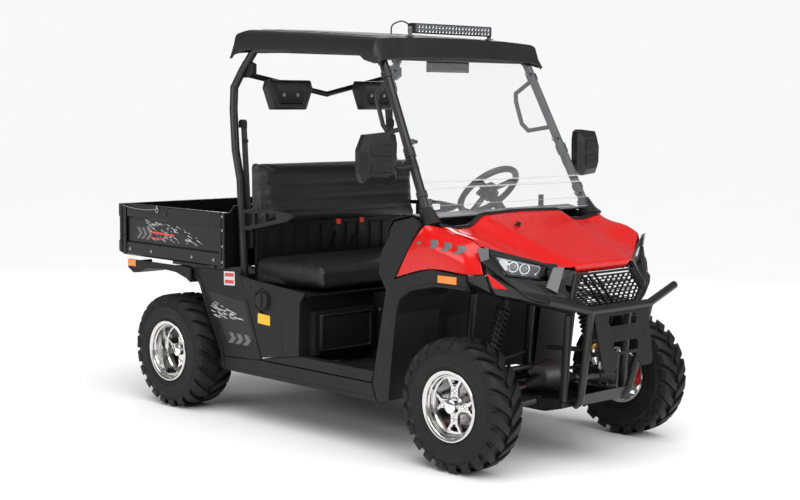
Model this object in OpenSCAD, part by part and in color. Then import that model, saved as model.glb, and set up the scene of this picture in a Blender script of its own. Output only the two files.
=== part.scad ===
// Side by side utility vehicle with a bench seat, roll cage, roof and dumping cargo bed.
// Millimetres. +Z is up, the front faces -Y, and the driver sits on the +X side.
// The origin is on the ground under the middle of the vehicle's length.
// Inside placed() every Y is counted backwards from the front axle.

/* [Running gear] */
// distance between the front and rear axles
wheelbase = 1820; // [1600:5:2100]
// distance from the centreline to the middle of a front tyre
front_wheel_x = 539; // [480:1:600]
// distance from the centreline to the middle of a rear tyre
rear_wheel_x = 558; // [480:1:620]
// outer diameter of every tyre
tyre_d = 540; // [500:1:640]
// width of a front tyre
front_tyre_w = 158; // [130:1:200]
// width of a rear tyre
rear_tyre_w = 208; // [160:1:260]
// diameter of the rim's outer lip
rim_d = 288; // [250:1:340]
// largest diameter of the brake discs
disc_d = 170; // [140:1:190]

/* [Body] */
// half the width over the side panels
body_x = 580; // [520:1:640]
// front face of the bumper plate, ahead of the front axle
nose_y = -386; // [-450:1:-300]
// rear face of the closed tailgate, behind the front axle
tail_y = 2340; // [2200:1:2500]
// height of the underside of the sills
sill_z = 217; // [180:1:260]
// height of the cab floor
floor_z = 300; // [260:1:340]
// wall thickness of the moulded panels
skin_t = 5; // [3:0.5:8]

/* [Cargo bed] */
// front face of the headboard, behind the front axle
bed_y = 1478; // [1460:1:1520]
// height of the bed's underside
bed_z = 690; // [660:1:720]
// height of the bed's top rail
bed_top_z = 945; // [880:1:1000]
// thickness of the bed's double walls
bed_wall = 30; // [20:1:45]

/* [Cab] */
// diameter of the roll cage tubes
cage_d = 38; // [30:1:45]
// half the width of the bench
bench_x = 505; // [450:1:520]
// diameter of the steering wheel
steering_d = 320; // [280:1:360]

/* [Hidden] */

$fn = 48;

// middle of the vehicle's length, behind the front axle
mid_y = (nose_y + tail_y) / 2;
axle_z = tyre_d / 2;
// upright steering axis of each front wheel
kingpin_x = 446;
// radius of the rim's barrel, where the tyre sits
barrel_r = 127;

red = [0.72, 0.05, 0.04];
charcoal = [0.13, 0.13, 0.14];
black = [0.03, 0.03, 0.03];
rubber = [0.05, 0.05, 0.05];
vinyl = [0.07, 0.07, 0.07];
alloy = [0.80, 0.81, 0.82];
steel = [0.45, 0.46, 0.48];
glass_tint = [0.80, 0.86, 0.88, 0.30];

// ---- helpers ----

module placed() {
    translate([0, -mid_y, 0]) children();
}

module both_sides() {
    children();
    mirror([1, 0, 0]) children();
}

// outline in (y, z), extruded from x0 to x1
module slab(x0, x1, outline) {
    translate([x0, 0, 0]) rotate([90, 0, 90]) linear_extrude(x1 - x0) polygon(outline);
}

// outline in (x, z), extruded from y0 to y1
module wall(y0, y1, outline) {
    translate([0, y1, 0]) rotate([90, 0, 0]) linear_extrude(y1 - y0) polygon(outline);
}

// box between two corners
module block(low, high) {
    translate(low) cube(high - low);
}

// round bar from a to b
module rod(a, b, d) {
    v = b - a;
    translate(a) rotate([0, acos(v[2] / norm(v)), atan2(v[1], v[0])]) cylinder(d = d, h = norm(v));
}

// bent tube through the points, with a ball a little proud of the tube at each bend
module pipe(points, d) {
    for (i = [0:len(points) - 2]) rod(points[i], points[i + 1], d);
    for (i = [1:len(points) - 2]) translate(points[i]) sphere(d = d + 0.8);
}

// Catmull-Rom curve through the points p, with n steps in each span
function spline(a, b, c, d, t) =
    0.5 * (2 * b + (c - a) * t + (2 * a - 5 * b + 4 * c - d) * t * t
           + (3 * b - a - 3 * c + d) * t * t * t);
function curve(p, n) = concat(
    [for (i = [0:len(p) - 2]) for (k = [0:n - 1])
        spline(p[max(i - 1, 0)], p[i], p[i + 1], p[min(i + 2, len(p) - 1)], k / n)],
    [p[len(p) - 1]]);

// direction across an open 2-D path at point i, turned left of its run
function across(p, i) =
    let (v = p[min(i + 1, len(p) - 1)] - p[max(i - 1, 0)])
    [-v[1], v[0]] / norm(v);
// open 2-D path made into a band of thickness t on its left side
function band(p, t) = concat(p, [for (i = [len(p) - 1:-1:0]) p[i] + t * across(p, i)]);

// Closed shell between two grids of points with the same rows and columns.
// The row direction crossed with the column direction points out of the outer grid.
module shell(outer, inner) {
    rows = len(outer);
    cols = len(outer[0]);
    points = [for (grid = [outer, inner]) for (row = grid) each row];
    function at(s, i, j) = (s * rows + i) * cols + j;
    outer_faces = [for (i = [0:rows - 2]) for (j = [0:cols - 2]) each
        [[at(0, i, j), at(0, i, j + 1), at(0, i + 1, j + 1)],
         [at(0, i, j), at(0, i + 1, j + 1), at(0, i + 1, j)]]];
    inner_faces = [for (i = [0:rows - 2]) for (j = [0:cols - 2]) each
        [[at(1, i, j), at(1, i + 1, j + 1), at(1, i, j + 1)],
         [at(1, i, j), at(1, i + 1, j), at(1, i + 1, j + 1)]]];
    row_edges = [for (j = [0:cols - 2]) each
        [[at(0, 0, j), at(1, 0, j), at(1, 0, j + 1)],
         [at(0, 0, j), at(1, 0, j + 1), at(0, 0, j + 1)],
         [at(0, rows - 1, j), at(0, rows - 1, j + 1), at(1, rows - 1, j + 1)],
         [at(0, rows - 1, j), at(1, rows - 1, j + 1), at(1, rows - 1, j)]]];
    col_edges = [for (i = [0:rows - 2]) each
        [[at(0, i, 0), at(0, i + 1, 0), at(1, i + 1, 0)],
         [at(0, i, 0), at(1, i + 1, 0), at(1, i, 0)],
         [at(0, i, cols - 1), at(1, i, cols - 1), at(1, i + 1, cols - 1)],
         [at(0, i, cols - 1), at(1, i + 1, cols - 1), at(0, i + 1, cols - 1)]]];
    polyhedron(points, concat(outer_faces, inner_faces, row_edges, col_edges));
}

// ---- shared curves, counted from the front axle ----

// inner edge of the front wheel arch in (y, z), from its rear foot to the front
front_arch = [[373, 233], [362, 350], [349, 460], [331, 600], [306, 665], [254, 702],
              [119, 734], [-66, 734], [-120, 728]];
// inner edge of the rear wheel arch in (y, z), from its front foot upwards
rear_arch = [[1504, 230], [1516, 310], [1572, 404], [1627, 503], [1673, 603], [1712, 637]];

// the two front pillars lean back from the cowl
pillar_foot = [505, 213, 966];
pillar_head = [455, 558, 1640];
function pillar(z) = pillar_foot + (pillar_head - pillar_foot)
    * ((z - pillar_foot[2]) / (pillar_head[2] - pillar_foot[2]));

// height of the front body's skin: a plane with a raised centre and a rolled shoulder
function ease(t) = let (u = min(max(t, 0), 1)) u * u * (3 - 2 * u);
function bulge_x(y) = lookup(y, [[-271, 132], [-200, 174], [0, 210], [180, 232]]);
function hood_z(x, y) =
    966 + 0.335 * (y - 200)
    + (20 + 27 * (y + 271) / 480) * (1 - ease((abs(x) - bulge_x(y)) / 110))
    + 14 * ease((abs(x) - 400) / 90) * ease((y + 120) / 120)
    + 18 * ease((abs(x) - 330) / 120) * (1 - ease((y + 20) / 150));
// front edge of the hood: a straight lip, then back along the lamps
function hood_front(x) = lookup(abs(x), [[0, -271], [197, -269], [300, -198], [465, -90], [500, -60]]);
function hood_rear(x) = 178 - 0.05 * abs(x);
hood_hinge = [0, -255, 806];

// axis of the bed's hinge
hinge = [0, 2240, 662];

// ---- chassis ----

module frame() {
    rail_x = 190;
    bed_rail_x = 288;
    $fn = 12;
    color(black) placed() {
        // lower ladder and skid plate
        both_sides() slab(rail_x - 20, rail_x + 20, [[-244, 252], [-150, 228], [1990, 228], [1990, 268], [-244, 268]]);
        block([-rail_x, -244, 253], [rail_x, -214, 265]);
        for (y = [410, 905, 1505, 1945]) block([-rail_x, y, 233], [rail_x, y + 30, 263]);
        for (y = [410, 905]) both_sides() block([rail_x + 21, y, 236], [535, y + 30, 260]);
        slab(-205, 205, [[-242, 243], [-150, 219], [1990, 219], [1990, 224], [-150, 224], [-242, 248]]);
        // upper tubes, each its own piece with a hairline gap at its welds
        both_sides() {
            rod([rail_x, -234, 270], [rail_x, -256, 622], 34);
            rod([rail_x, 300, 270], [rail_x, 266, 660], 34);
            rod([rail_x, -276, 640], [rail_x, 282, 682], 30);
            rod([207, 265, 698], [430, 300, 926], 28);
            rod([193, 1455, 274], [281, 1455, 620], 34);
            rod([195, 1945, 278], [281, 2108, 616], 34);
            block([bed_rail_x - 20, 1430, 626], [bed_rail_x + 20, 2262, 662]);
            block([bed_rail_x - 10, 2224, 650], [bed_rail_x + 10, 2256, 676]);
            block([bed_rail_x + 21, 1432, 630], [480, 1458, 656]);
            translate([236, hinge[1], hinge[2]]) rotate([0, 90, 0]) cylinder(d = 12, h = 45, $fn = 32);
        }
        rod([-174, -258, 641], [174, -258, 641], 26);
        rod([-174, 262, 680], [174, 262, 680], 26);
        for (y = [1440, 2060]) block([-bed_rail_x + 21, y, 631], [bed_rail_x - 21, y + 30, 657]);
    }
}

module floor_tub() {
    color(charcoal) placed() {
        block([-535, 388, floor_z - 6], [535, 940, floor_z]);
        slab(-552, 552, band([[384, floor_z - 6], [364, 560], [312, 720]], 5));
        slab(-150, 150, [[388, floor_z - 1], [428, 400], [860, 400], [860, 600], [940, 600], [940, floor_z - 1]]);
        both_sides() slab(536, 552, [[384, floor_z - 1], [470, floor_z - 1], [430, 520], [398, 690],
                                     [438, 762], [408, 850], [340, 880], [318, 726], [364, 562]]);
    }
}

module sills() {
    color(charcoal) placed() both_sides() {
        slab(536, body_x, [[452, sill_z + 1], [1488, sill_z], [1492, 276], [1200, 292], [480, 292]]);
        slab(536, body_x - 2, [[482, 297], [1204, 297], [1200, 303], [942, 344], [470, 344]]);
    }
}

module front_fenders() {
    outer = [[443, 218], [473, 294], [429, 523], [395, 693], [441, 763], [421, 856],
             [362, 935], [252, 1003], [200, 975], [276, 864], [350, 741], [200, 786],
             [131, 800], [-50, 788], [-54, 760], [-66, 735]];
    color(charcoal) placed() both_sides() {
        slab(body_x - 14, body_x, concat(outer, [for (i = [len(front_arch) - 3:-1:0]) front_arch[i]]));
        slab(330, body_x - 13, band([for (i = [0:len(front_arch) - 3]) front_arch[i]], -skin_t));
    }
}

// wedge that holds one headlamp
module lamp_wedge() {
    corners = [[286, -200, 817], [472, -104, 864], [420, -128, 791], [300, -186, 770]];
    hull() for (p = corners) translate(p) cube([4, 60, 4]);
}

// one sheet of the face through rows of points, with its back 9 mm behind
module face_sheet(rows) shell(rows, [for (row = rows) [for (p = row) p + [-2, 9, 0]]]);

// charcoal face from the grille to the wheel arches: below the lamp, inside it, outside it, corner
module front_fascia() {
    color(charcoal) placed() both_sides() {
        face_sheet([[[161, -322, 630], [300, -262, 664], [420, -196, 700], [496, -142, 718]],
                    [[243, -293, 700], [314, -248, 712], [430, -170, 736], [500, -112, 752]],
                    [[240, -268, 764], [296, -206, 761], [428, -138, 781], [502, -94, 786]]]);
        face_sheet([[[239, -266, 768], [280, -226, 766]],
                    [[192, -266, 806], [278, -212, 808]]]);
        face_sheet([[[432, -132, 789], [503, -92, 791]],
                    [[481, -102, 864], [503, -86, 868]]]);
        face_sheet([[[507, -120, 724], [541, -92, 748], [572, -66, 768]],
                    [[507, -88, 792], [541, -71, 790], [572, -58, 788]]]);
    }
}

module side_panels() {
    // rows from the front backwards, points from the hood's edge down the side
    side = [
        [[507, -64, 896], [513, -68, 862], [514, -76, 826], [510, -82, 796]],
        [[507, -12, 921], [548, -18, 894], [564, -26, 850], [566, -34, 796]],
        [[507, 90, 945], [556, 90, 926], [580, 90, 880], [580, 90, 808]],
        [[507, 146, 958], [552, 160, 948], [580, 180, 905], [580, 196, 796]],
        [[530, 182, 968], [562, 204, 962], [580, 262, 872], [580, 331, 757]]];
    inner = [for (row = side) [for (p = row) p + [-skin_t, 0, -skin_t]]];
    color(red) placed() both_sides() shell(side, inner);
}

module cowl() {
    top = [for (x = [-500:50:500]) [for (dy = [2, 20])
        [x, hood_rear(x) + dy, hood_z(x, hood_rear(x)) + 6 + dy / 4]]];
    bottom = [for (row = top) [for (p = row) p - [0, 0, 24]]];
    color(black) placed() shell(top, bottom);
}

module grille() {
    color(black) placed() {
        face = [[[-155, -330, 647], [155, -330, 647]],
                [[-236, -303, 700], [236, -303, 700]],
                [[-186, -280, 790], [186, -280, 790]]];
        inner = [for (row = face) [for (p = row) p + [0, 10, 0]]];
        shell(face, inner);
    }
}

module lamps() {
    color([0.75, 0.77, 0.80]) placed() {
        both_sides() {
            lamp_wedge();
            block([440, 2262, 614], [520, 2276, 654]);
        }
        block([-246, 582, 1756], [246, 622, 1800]);
        both_sides() block([247, 590, 1748], [255, 614, 1790]);
    }
}

module front_bumper() {
    tube_d = 34;
    // the plate hangs between the two uprights and leans with them
    plate = [[-176, 646], [176, 646], [162, 430], [150, 404], [84, 404], [58, 462],
             [-58, 462], [-84, 404], [-150, 404], [-162, 430]];
    slots = [[600, 92], [497, 84]];
    lean = atan2(48, 259);
    color(black) placed() {
        pipe([[-409, -330, 704], [-190, -366, 650], [190, -366, 650], [409, -330, 704]], tube_d);
        both_sides() {
            pipe([[190, -366, 650], [168, -318, 391], [156, -296, 296], [152, -282, 266], [150, -262, 252]],
                 tube_d - 1);
        }
        slab(-148, 148, [[-300, 300], [-276, 250], [-246, 244], [-246, 248], [-274, 254], [-296, 300]]);
        difference() {
            translate([0, -366, 650]) rotate([-lean, 0, 0]) translate([0, 0, -650]) wall(-3, 3, plate);
            for (slot = slots) wall(-420, -300, [for (p = [[-1, 0], [-0.9, 1], [0.9, 1], [1, 0], [0.9, -1], [-0.9, -1]])
                [p[0] * slot[1], slot[0] + p[1] * 21]]);
        }
    }
}

module dash() {
    color(charcoal) placed() {
        slab(-500, 500, band([[254, 992], [330, 1006], [440, 982], [476, 930], [466, 860],
                              [400, 790], [330, 742]], -skin_t));
        both_sides() slab(490, 500, [[262, 980], [330, 992], [432, 968], [462, 926], [452, 862],
                                     [396, 800], [334, 756]]);
        block([392, 398, 984], [408, 416, 1048]);
    }
}

module windshield() {
    color(glass_tint) placed() {
        tilt = atan2(pillar_head[1] - pillar_foot[1], pillar_head[2] - pillar_foot[2]);
        translate([0, 186, 966]) rotate([-tilt, 0, 0]) {
            wall(-2.5, 2.5, [[-506, 37], [506, 37], [494, 182], [-494, 182]]);
            wall(-2.5, 2.5, [[-492, 188], [492, 188], [452, 746], [-452, 746]]);
        }
    }
}

module cage_pillars() {
    color(black) placed() both_sides() {
        pipe([pillar(948), pillar_head, [450, 625, 1688]], cage_d);
        pipe([[500, 1426, 632], [500, 1458, 1096], [499, 1495, 1233], [496, 1513, 1417],
              [494, 1510, 1520], [480, 1465, 1600], [462, 1400, 1690]], cage_d);
    }
}

module cage_bars() {
    color(black) placed() {
        both_sides() {
            rod([451, 630, 1692], [461, 1392, 1694], cage_d - 1);
            pipe([[450, 512, 1566], [441, 606, 1503], [441, 604, 1466], [441, 566, 1365], [446, 530, 1334],
                  [470, 428, 1352]], 20, $fn = 12);
            rod([0, 1425, 1494], [484, 1474, 1588], 26);
            block([258, 1401, 1530], [298, 1452, 1556]);
            hull() {
                block([452, 1430, 1566], [474, 1476, 1640]);
                block([452, 1398, 1586], [474, 1410, 1628]);
            }
        }
        rod([-437, 566, 1652], [437, 566, 1652], 30);
        rod([-442, 1390, 1696], [442, 1390, 1696], 30);
    }
}

module roof() {
    // rows across the roof at each station, from one lower edge over the top to the other
    low = [[517, 1622], [540, 1622], [598, 1636], [634, 1660], [1009, 1677], [1378, 1693],
           [1460, 1682], [1506, 1652]];
    top = [[517, 1636], [548, 1722], [598, 1728], [634, 1732], [1009, 1758], [1428, 1780],
           [1480, 1770], [1506, 1676]];
    stations = [517, 540, 570, 634, 800, 1009, 1200, 1378, 1450, 1490, 1506];
    function half(y, t) = let (a = lookup(y, low), b = lookup(y, top) - t)
        [[523 - t, a], [512 - t, b - 22], [494 - t, b - 3], [440, b + 6], [300, b + 12], [150, b + 15], [0, b + 16]];
    function section(y, shift, t) = let (h = half(y, t))
        concat([for (p = h) [-p[0], y + shift, p[1]]],
               [for (i = [len(h) - 2:-1:0]) [h[i][0], y + shift, h[i][1]]]);
    outer = [for (y = stations) section(y, 0, 0)];
    inner = [for (y = stations) section(y, y < 1000 ? skin_t : -skin_t, skin_t)];
    color(black) placed() mirror([1, 0, 0]) shell(outer, inner);
}

module mirrors() {
    turn = 8;
    // outline of a housing seen from the front, from its inner end outwards
    outline = [[-92, 58], [-84, 96], [-60, 106], [66, 96], [94, 34], [92, -60], [74, -98], [-40, -106], [-88, -84]];
    color(black) placed() {
        for (s = [-1, 1]) {
            translate([s * 662, 365, 1236]) rotate([0, 0, s * turn]) hull() {
                wall(-8, 22, [for (p = outline) [s * p[0], p[1]]]);
                wall(-30, 22, [for (p = outline) 0.72 * [s * p[0], p[1]]]);
            }
        }
        both_sides() {
            pipe([[502, 330, 1200], [530, 352, 1190], [566, 388, 1200]], 18);
            translate(pillar(1205) - [0, 9, 18]) rotate([-27, 0, 0]) cylinder(d = cage_d + 3, h = 44);
        }
        hull() {
            block([-130, 612, 1592], [130, 622, 1640]);
            block([-118, 600, 1600], [118, 622, 1632]);
        }
        rod([0, 577, 1645], [0, 612, 1628], 12);
    }
}

module headrests() {
    color(vinyl) placed() both_sides() translate([278, 1384, 1490]) hull() {
        wall(-16, 16, [[-130, 68], [130, 68], [144, 30], [104, -70], [-104, -70], [-144, 30]]);
        wall(-28, 16, [[-112, 54], [112, 54], [124, 26], [90, -56], [-90, -56], [-124, 26]]);
    }
}

module seat_base() {
    color(charcoal) placed() {
        both_sides() {
            difference() {
                slab(body_x - 12, body_x, [[948, 346], [1206, 306], [1298, 534], [1360, 668],
                                           [1267, 654], [906, 628], [942, 583]]);
                translate([body_x - 5, 1196, 566]) rotate([0, 90, 0]) cylinder(d = 124, h = 10, $fn = 6);
            }
            block([160, 905, 346], [525, 943, 540]);
        }
        block([-body_x + 13, 900, 612], [body_x - 13, 1400, 618]);
        block([-530, 944, 306], [530, 950, 611]);
        both_sides() block([529, 944, 348], [567, 950, 611]);
        block([-462, 1394, 619], [462, 1402, 900]);
        for (x = [-440:80:440]) block([x - 22, 1388, 700], [x + 22, 1394, 872]);
    }
}

module seat_cushion() {
    color(vinyl) placed() slab(-bench_x, bench_x, [[880, 640], [1370, 622], [1370, 735], [1000, 748],
                                                  [900, 742], [872, 710]]);
}

module seat_back() {
    color(vinyl) placed() slab(-bench_x, bench_x, [[1296, 880], [1384, 880], [1392, 1160], [1385, 1186],
                                                  [1345, 1186], [1330, 1160]]);
}

module hip_restraints() {
    arm = [[1410, 962], [1357, 968], [1178, 974], [1048, 962], [1040, 950], [1087, 928], [1213, 902],
           [1350, 874], [1410, 870]];
    windows = [[[1386, 948], [1330, 950], [1330, 896], [1386, 888]],
               [[1312, 951], [1250, 954], [1250, 914], [1312, 900]],
               [[1232, 955], [1160, 958], [1160, 932], [1232, 918]]];
    color(black) placed() both_sides() {
        difference() {
            slab(515, 535, arm);
            for (w = windows) slab(510, 540, w);
        }
        block([506, 1406, 868], [520, 1421, 966]);
    }
}

module seat_belts() {
    color([0.05, 0.05, 0.05]) placed() both_sides() {
        hull() {
            block([468, 1448, 1330], [470, 1490, 1334]);
            block([474, 1404, 860], [476, 1446, 864]);
        }
        block([464, 1452, 1336], [478, 1500, 1372]);
        block([466, 1398, 780], [480, 1452, 858]);
        rod([58, 1340, 750], [72, 1276, 846], 12);
        block([58, 1258, 842], [90, 1284, 906]);
    }
}

module rear_quarters() {
    // underside of the fender over the rear tyre, from the front backwards
    brow = [[1713, 604], [1744, 620], [1824, 642], [1946, 650], [2072, 640], [2132, 615], [2183, 610],
            [2228, 634]];
    color(charcoal) placed() both_sides() {
        slab(body_x - 12, body_x, concat(
            [[1502, 218], [1504, 230]],
            [for (i = [1:len(rear_arch) - 1]) rear_arch[i]],
            [[1712, 676], [1368, 682], [1304, 534], [1212, 296], [1496, 280]]));
        slab(430, body_x - 13, band([for (i = [0:len(rear_arch) - 1]) rear_arch[i] - [8, 0]], skin_t));
        slab(450, 602, band(brow, skin_t + 1));
        slab(590, 602, concat([for (p = brow) p + [0, 7]], [[2228, 674], [1714, 674]]));
        block([452, 2224, 627], [508, 2261, 641]);
    }
}

module suspension_arms() {
    // inner pivots and outer joints of the arms at the front axle
    front = [[[205, -120, 264], [430, -9, 210], 26], [[205, 160, 264], [430, 9, 210], 26],
             [[205, -70, 394], [424, -7, 378], 22], [[205, 190, 394], [424, 7, 378], 22]];
    rear = [[[205, -130, 264], [432, -9, 224], 26], [[205, 130, 264], [432, 9, 224], 26],
            [[205, -80, 394], [432, -7, 372], 22], [[205, 80, 394], [432, 7, 372], 22]];
    $fn = 24;
    color(black) placed() both_sides() {
        for (arm = front) rod(arm[0], arm[1], arm[2]);
        for (arm = rear) rod(arm[0] + [0, wheelbase, 0], arm[1] + [0, wheelbase, 0], arm[2]);
        translate([420, -16, 198]) cube([20, 32, 22]);
        translate([416, -14, 366]) cube([20, 28, 22]);
        translate([424, wheelbase - 20, 206]) cube([26, 40, 184]);
        // feet of the shocks
        block([362, 34, 222], [382, 58, 300]);
        block([362, wheelbase + 40, 226], [382, wheelbase + 72, 300]);
        translate([449, wheelbase, axle_z]) rotate([0, 90, 0]) cylinder(d = 30, h = 88);
        for (y = [-120, 160, wheelbase - 130, wheelbase + 130]) translate([212, y - 16, 252]) cube([14, 32, 30]);
    }
}

module shocks() {
    color(steel) placed() both_sides() for (y = [46, wheelbase + 60]) {
        rod([238, y, 652], [371, y, 302], 18);
        rod([243, y, 640], [327, y, 418], 56);
    }
}

// route of the left front brake hose, from the frame along the upper arm
hose_route = [[206, -40, 450], [230, -36, 447], [262, -30, 440], [300, -24, 433], [340, -19, 428],
              [376, -15, 421], [402, -13, 411], [416, -13, 397]];

// tube of eight sides along a route that runs mostly across the vehicle
module hose(route, d) {
    ring = [for (a = [0:45:315]) [0, cos(a), sin(a)] * d / 2];
    points = [for (p = route) for (q = ring) p + q];
    n = len(route);
    sides = [for (i = [0:n - 2]) for (k = [0:7]) let (m = (k + 1) % 8) each
        [[i * 8 + k, i * 8 + 8 + k, i * 8 + 8 + m], [i * 8 + k, i * 8 + 8 + m, i * 8 + m]]];
    ends = [[for (k = [0:7]) k], [for (k = [7:-1:0]) (n - 1) * 8 + k]];
    polyhedron(points, concat(sides, ends));
}

module brake_hoses() {
    color(rubber) placed() both_sides() hose(curve(hose_route, 3), 9);
}

module powertrain() {
    shaft_z = 278;
    color(steel) placed() {
        block([-220, 1060, 270], [220, 1400, 600]);
        block([-95, wheelbase - 110, 270], [95, wheelbase + 110, 420]);
        block([-80, -90, 270], [80, 90, 400]);
        rod([0, 90, shaft_z], [0, 1060, shaft_z], 24);
        rod([0, 1400, shaft_z], [0, wheelbase - 110, shaft_z], 24);
        both_sides() {
            rod([80, 0, 300], [410, 0, axle_z], 26);
            rod([95, wheelbase, 300], [422, wheelbase, axle_z], 28);
        }
        rod([-180, 2150, 500], [180, 2150, 500], 120);
    }
}

module rear_hitch() {
    color(black) placed() {
        difference() {
            union() {
                block([-60, 1990, 250], [60, 2300, 262]);
                block([-60, 1990, 262], [60, 2010, 330]);
            }
            translate([0, 2262, 240]) cylinder(d = 19.5, h = 40);
        }
    }
}

module fuel_cap() {
    color(black) placed() translate([-body_x, 1196, 566]) rotate([0, -90, 0]) cylinder(d = 87, h = 18);
}

module driver_controls() {
    color(black) placed() {
        rod([240, 494, 971], [240, 560, 1037], 44);
        for (x = [190, 280]) {
            rod([x, 362, 640], [x, 420, 420], 12);
            block([x - 32, 410, 380], [x + 32, 424, 440]);
        }
    }
}

module steering_wheel() {
    color(black) placed() translate([240, 585, 1062]) rotate([-45, 0, 0]) {
        rotate_extrude() translate([steering_d / 2 - 14, 0]) circle(d = 28);
        for (a = [90, 210, 330]) rotate([0, 0, a]) translate([0, -16, -6]) cube([steering_d / 2 - 16, 32, 10]);
        translate([0, 0, -34]) cylinder(d = 70, h = 40);
    }
}

module tie_rods() {
    color(steel) placed() {
        rod([-416, 105, 308], [416, 105, 308], 16);
    }
}

module hood() {
    xs = [for (x = [-500:25:500]) x];
    steps = 12;
    outer = [for (x = xs) [for (k = [0:steps])
        let (y = hood_front(x) + (hood_rear(x) - hood_front(x)) * k / steps)
        [x, y, hood_z(x, y)]]];
    inner = [for (row = outer) [for (p = row) p - [0, 0, skin_t]]];
    color(red) placed() {
        shell(outer, inner);
        both_sides() difference() {
            union() {
                block([100, hood_hinge[1] - 6, hood_hinge[2]], [140, hood_hinge[1] + 6, 828]);
                translate([100, hood_hinge[1], hood_hinge[2]]) rotate([0, 90, 0]) cylinder(d = 18, h = 40);
            }
            translate([90, hood_hinge[1], hood_hinge[2]]) rotate([0, 90, 0]) cylinder(d = 8.4, h = 60);
        }
    }
}

module knuckle() {
    translate([kingpin_x, 0, 0]) {
        translate([-12, -18, 228]) cube([30, 36, 131]);
        translate([0, 0, 224]) cylinder(d = 26, h = 139);
        rod([10, 0, axle_z], [34, 0, axle_z], 70);
        rod([30, 0, axle_z], [92, 0, axle_z], 30);
        slab(-32, -14, [[-12, 322], [92, 322], [118, 325], [118, 337], [92, 340], [-12, 344]]);
        block([-32, -12, 322], [-8, 14, 344]);
    }
}

module knuckle_left() {
    color(steel) placed() knuckle();
}

module knuckle_right() {
    color(steel) placed() mirror([1, 0, 0]) knuckle();
}

module bed() {
    rail_x = body_x;
    in_x = body_x - bed_wall;
    back_y = tail_y - 38;
    // section of a side wall in (x, z): three folded panels
    fold = [[in_x, bed_z], [rail_x - 6, bed_z], [rail_x, bed_z + 8], [rail_x, 754], [rail_x - 7, 762],
            [rail_x - 7, 876], [rail_x, 884], [rail_x, bed_top_z - 4], [rail_x - 4, bed_top_z],
            [in_x, bed_top_z]];
    color(charcoal) placed() {
        block([-in_x, bed_y, bed_z], [in_x, back_y, bed_z + 22]);
        both_sides() {
            wall(bed_y + 26, back_y, fold);
            block([in_x, bed_y, bed_z - 4], [rail_x, bed_y + 26, bed_top_z]);
            block([238, 1560, 668], [258, 2254, bed_z + 2]);
            difference() {
                translate([234, hinge[1], hinge[2]]) rotate([0, 90, 0]) cylinder(d = 30, h = 28);
                translate([230, hinge[1], hinge[2]]) rotate([0, 90, 0]) cylinder(d = 13, h = 36);
            }
        }
        difference() {
            wall(bed_y, bed_y + 22, [[-in_x, bed_z + 10], [in_x, bed_z + 10], [in_x, 936], [in_x - 40, 972],
                                     [-in_x + 40, 972], [-in_x, 936]]);
            wall(bed_y - 1, bed_y + 8, [[-400, 760], [400, 760], [400, 900], [-400, 900]]);
        }
    }
}

module tailgate() {
    out_x = body_x - 2;
    // section of the gate in (y, z): three folded panels
    fold = [[tail_y - 32, 702], [tail_y - 6, 702], [tail_y, 710], [tail_y, 754], [tail_y - 7, 762],
            [tail_y - 7, 876], [tail_y, 884], [tail_y, 939], [tail_y - 4, 943], [tail_y - 32, 943]];
    color(charcoal) placed() {
        slab(-out_x, out_x, fold);
        both_sides() translate([430, tail_y - 9, 708]) rotate([0, 90, 0]) cylinder(d = 16, h = 80);
    }
}

module tailgate_cables() {
    // from the ring on the side wall back to the gate's top corner
    color(rubber) placed() both_sides()
        pipe([[body_x + 4, 2001, 926], [body_x + 4, 2010, 934], [body_x + 5, 2290, 936]], 5);
}

// ---- wheels ----

// rim on the X axis, with its outer lip towards +X; w is the tyre's width and
// face_x is how far the wheel's face lies from the middle of the tyre
module rim(w, face_x) {
    half = w / 2;
    rotate([0, 90, 0]) {
        rotate_extrude(angle = 360) polygon([
            [barrel_r - 8, -half + 14], [barrel_r + 2, -half + 14], [barrel_r + 2, half - 14],
            [rim_d / 2, half - 14], [rim_d / 2, half - 4], [barrel_r - 8, half - 10]]);
        difference() {
            translate([0, 0, face_x - 12]) cylinder(r = barrel_r - 7, h = 12);
            for (a = [45:90:315]) rotate([0, 0, a])
                translate([62, 0, face_x - 20]) linear_extrude(40)
                    polygon([[0, -12], [46, -46], [52, 0], [46, 46], [0, 12]]);
            translate([0, 0, face_x - 40]) cylinder(d = 31, h = 60);
        }
        difference() {
            translate([0, 0, face_x - 50]) cylinder(d = 84, h = 40);
            translate([0, 0, face_x - 60]) cylinder(d = 31, h = 80);
        }
        translate([0, 0, face_x - 4]) cylinder(d = 60, h = 14);
        difference() {
            translate([0, 0, face_x - 58]) cylinder(d = disc_d, h = 5);
            translate([0, 0, face_x - 60]) cylinder(d = 73, h = 10);
        }
        difference() {
            translate([0, 0, face_x - 58]) cylinder(d = 84, h = 12);
            translate([0, 0, face_x - 60]) cylinder(d = 73, h = 20);
        }
    }
}

module tyre(w) {
    half = w / 2;
    r = tyre_d / 2;
    rotate([0, 90, 0]) rotate_extrude() polygon([
        [barrel_r + 2.2, -half + 15], [barrel_r + 12, -half + 8], [180, -half], [236, -half + 4], [r - 6, -half + 18],
        [r, -half + 34], [r, half - 34], [r - 6, half - 18], [236, half - 4], [180, half],
        [rim_d / 2 + 2, half - 8], [rim_d / 2 + 1, half - 14.2], [barrel_r + 2.2, half - 14.2]]);
}

// a wheel's part at its axle; side is 1 on the left and -1 on the right
module at_wheel(x, y, side) {
    placed() translate([side * x, y, axle_z]) mirror([side < 0 ? 1 : 0, 0, 0]) children();
}

module rim_front_left() {
    color(alloy) at_wheel(front_wheel_x, 0, 1) rim(front_tyre_w, 40);
}

module rim_front_right() {
    color(alloy) at_wheel(front_wheel_x, 0, -1) rim(front_tyre_w, 40);
}

module rim_rear_left() {
    color(alloy) at_wheel(rear_wheel_x, wheelbase, 1) rim(rear_tyre_w, 20);
}

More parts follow.
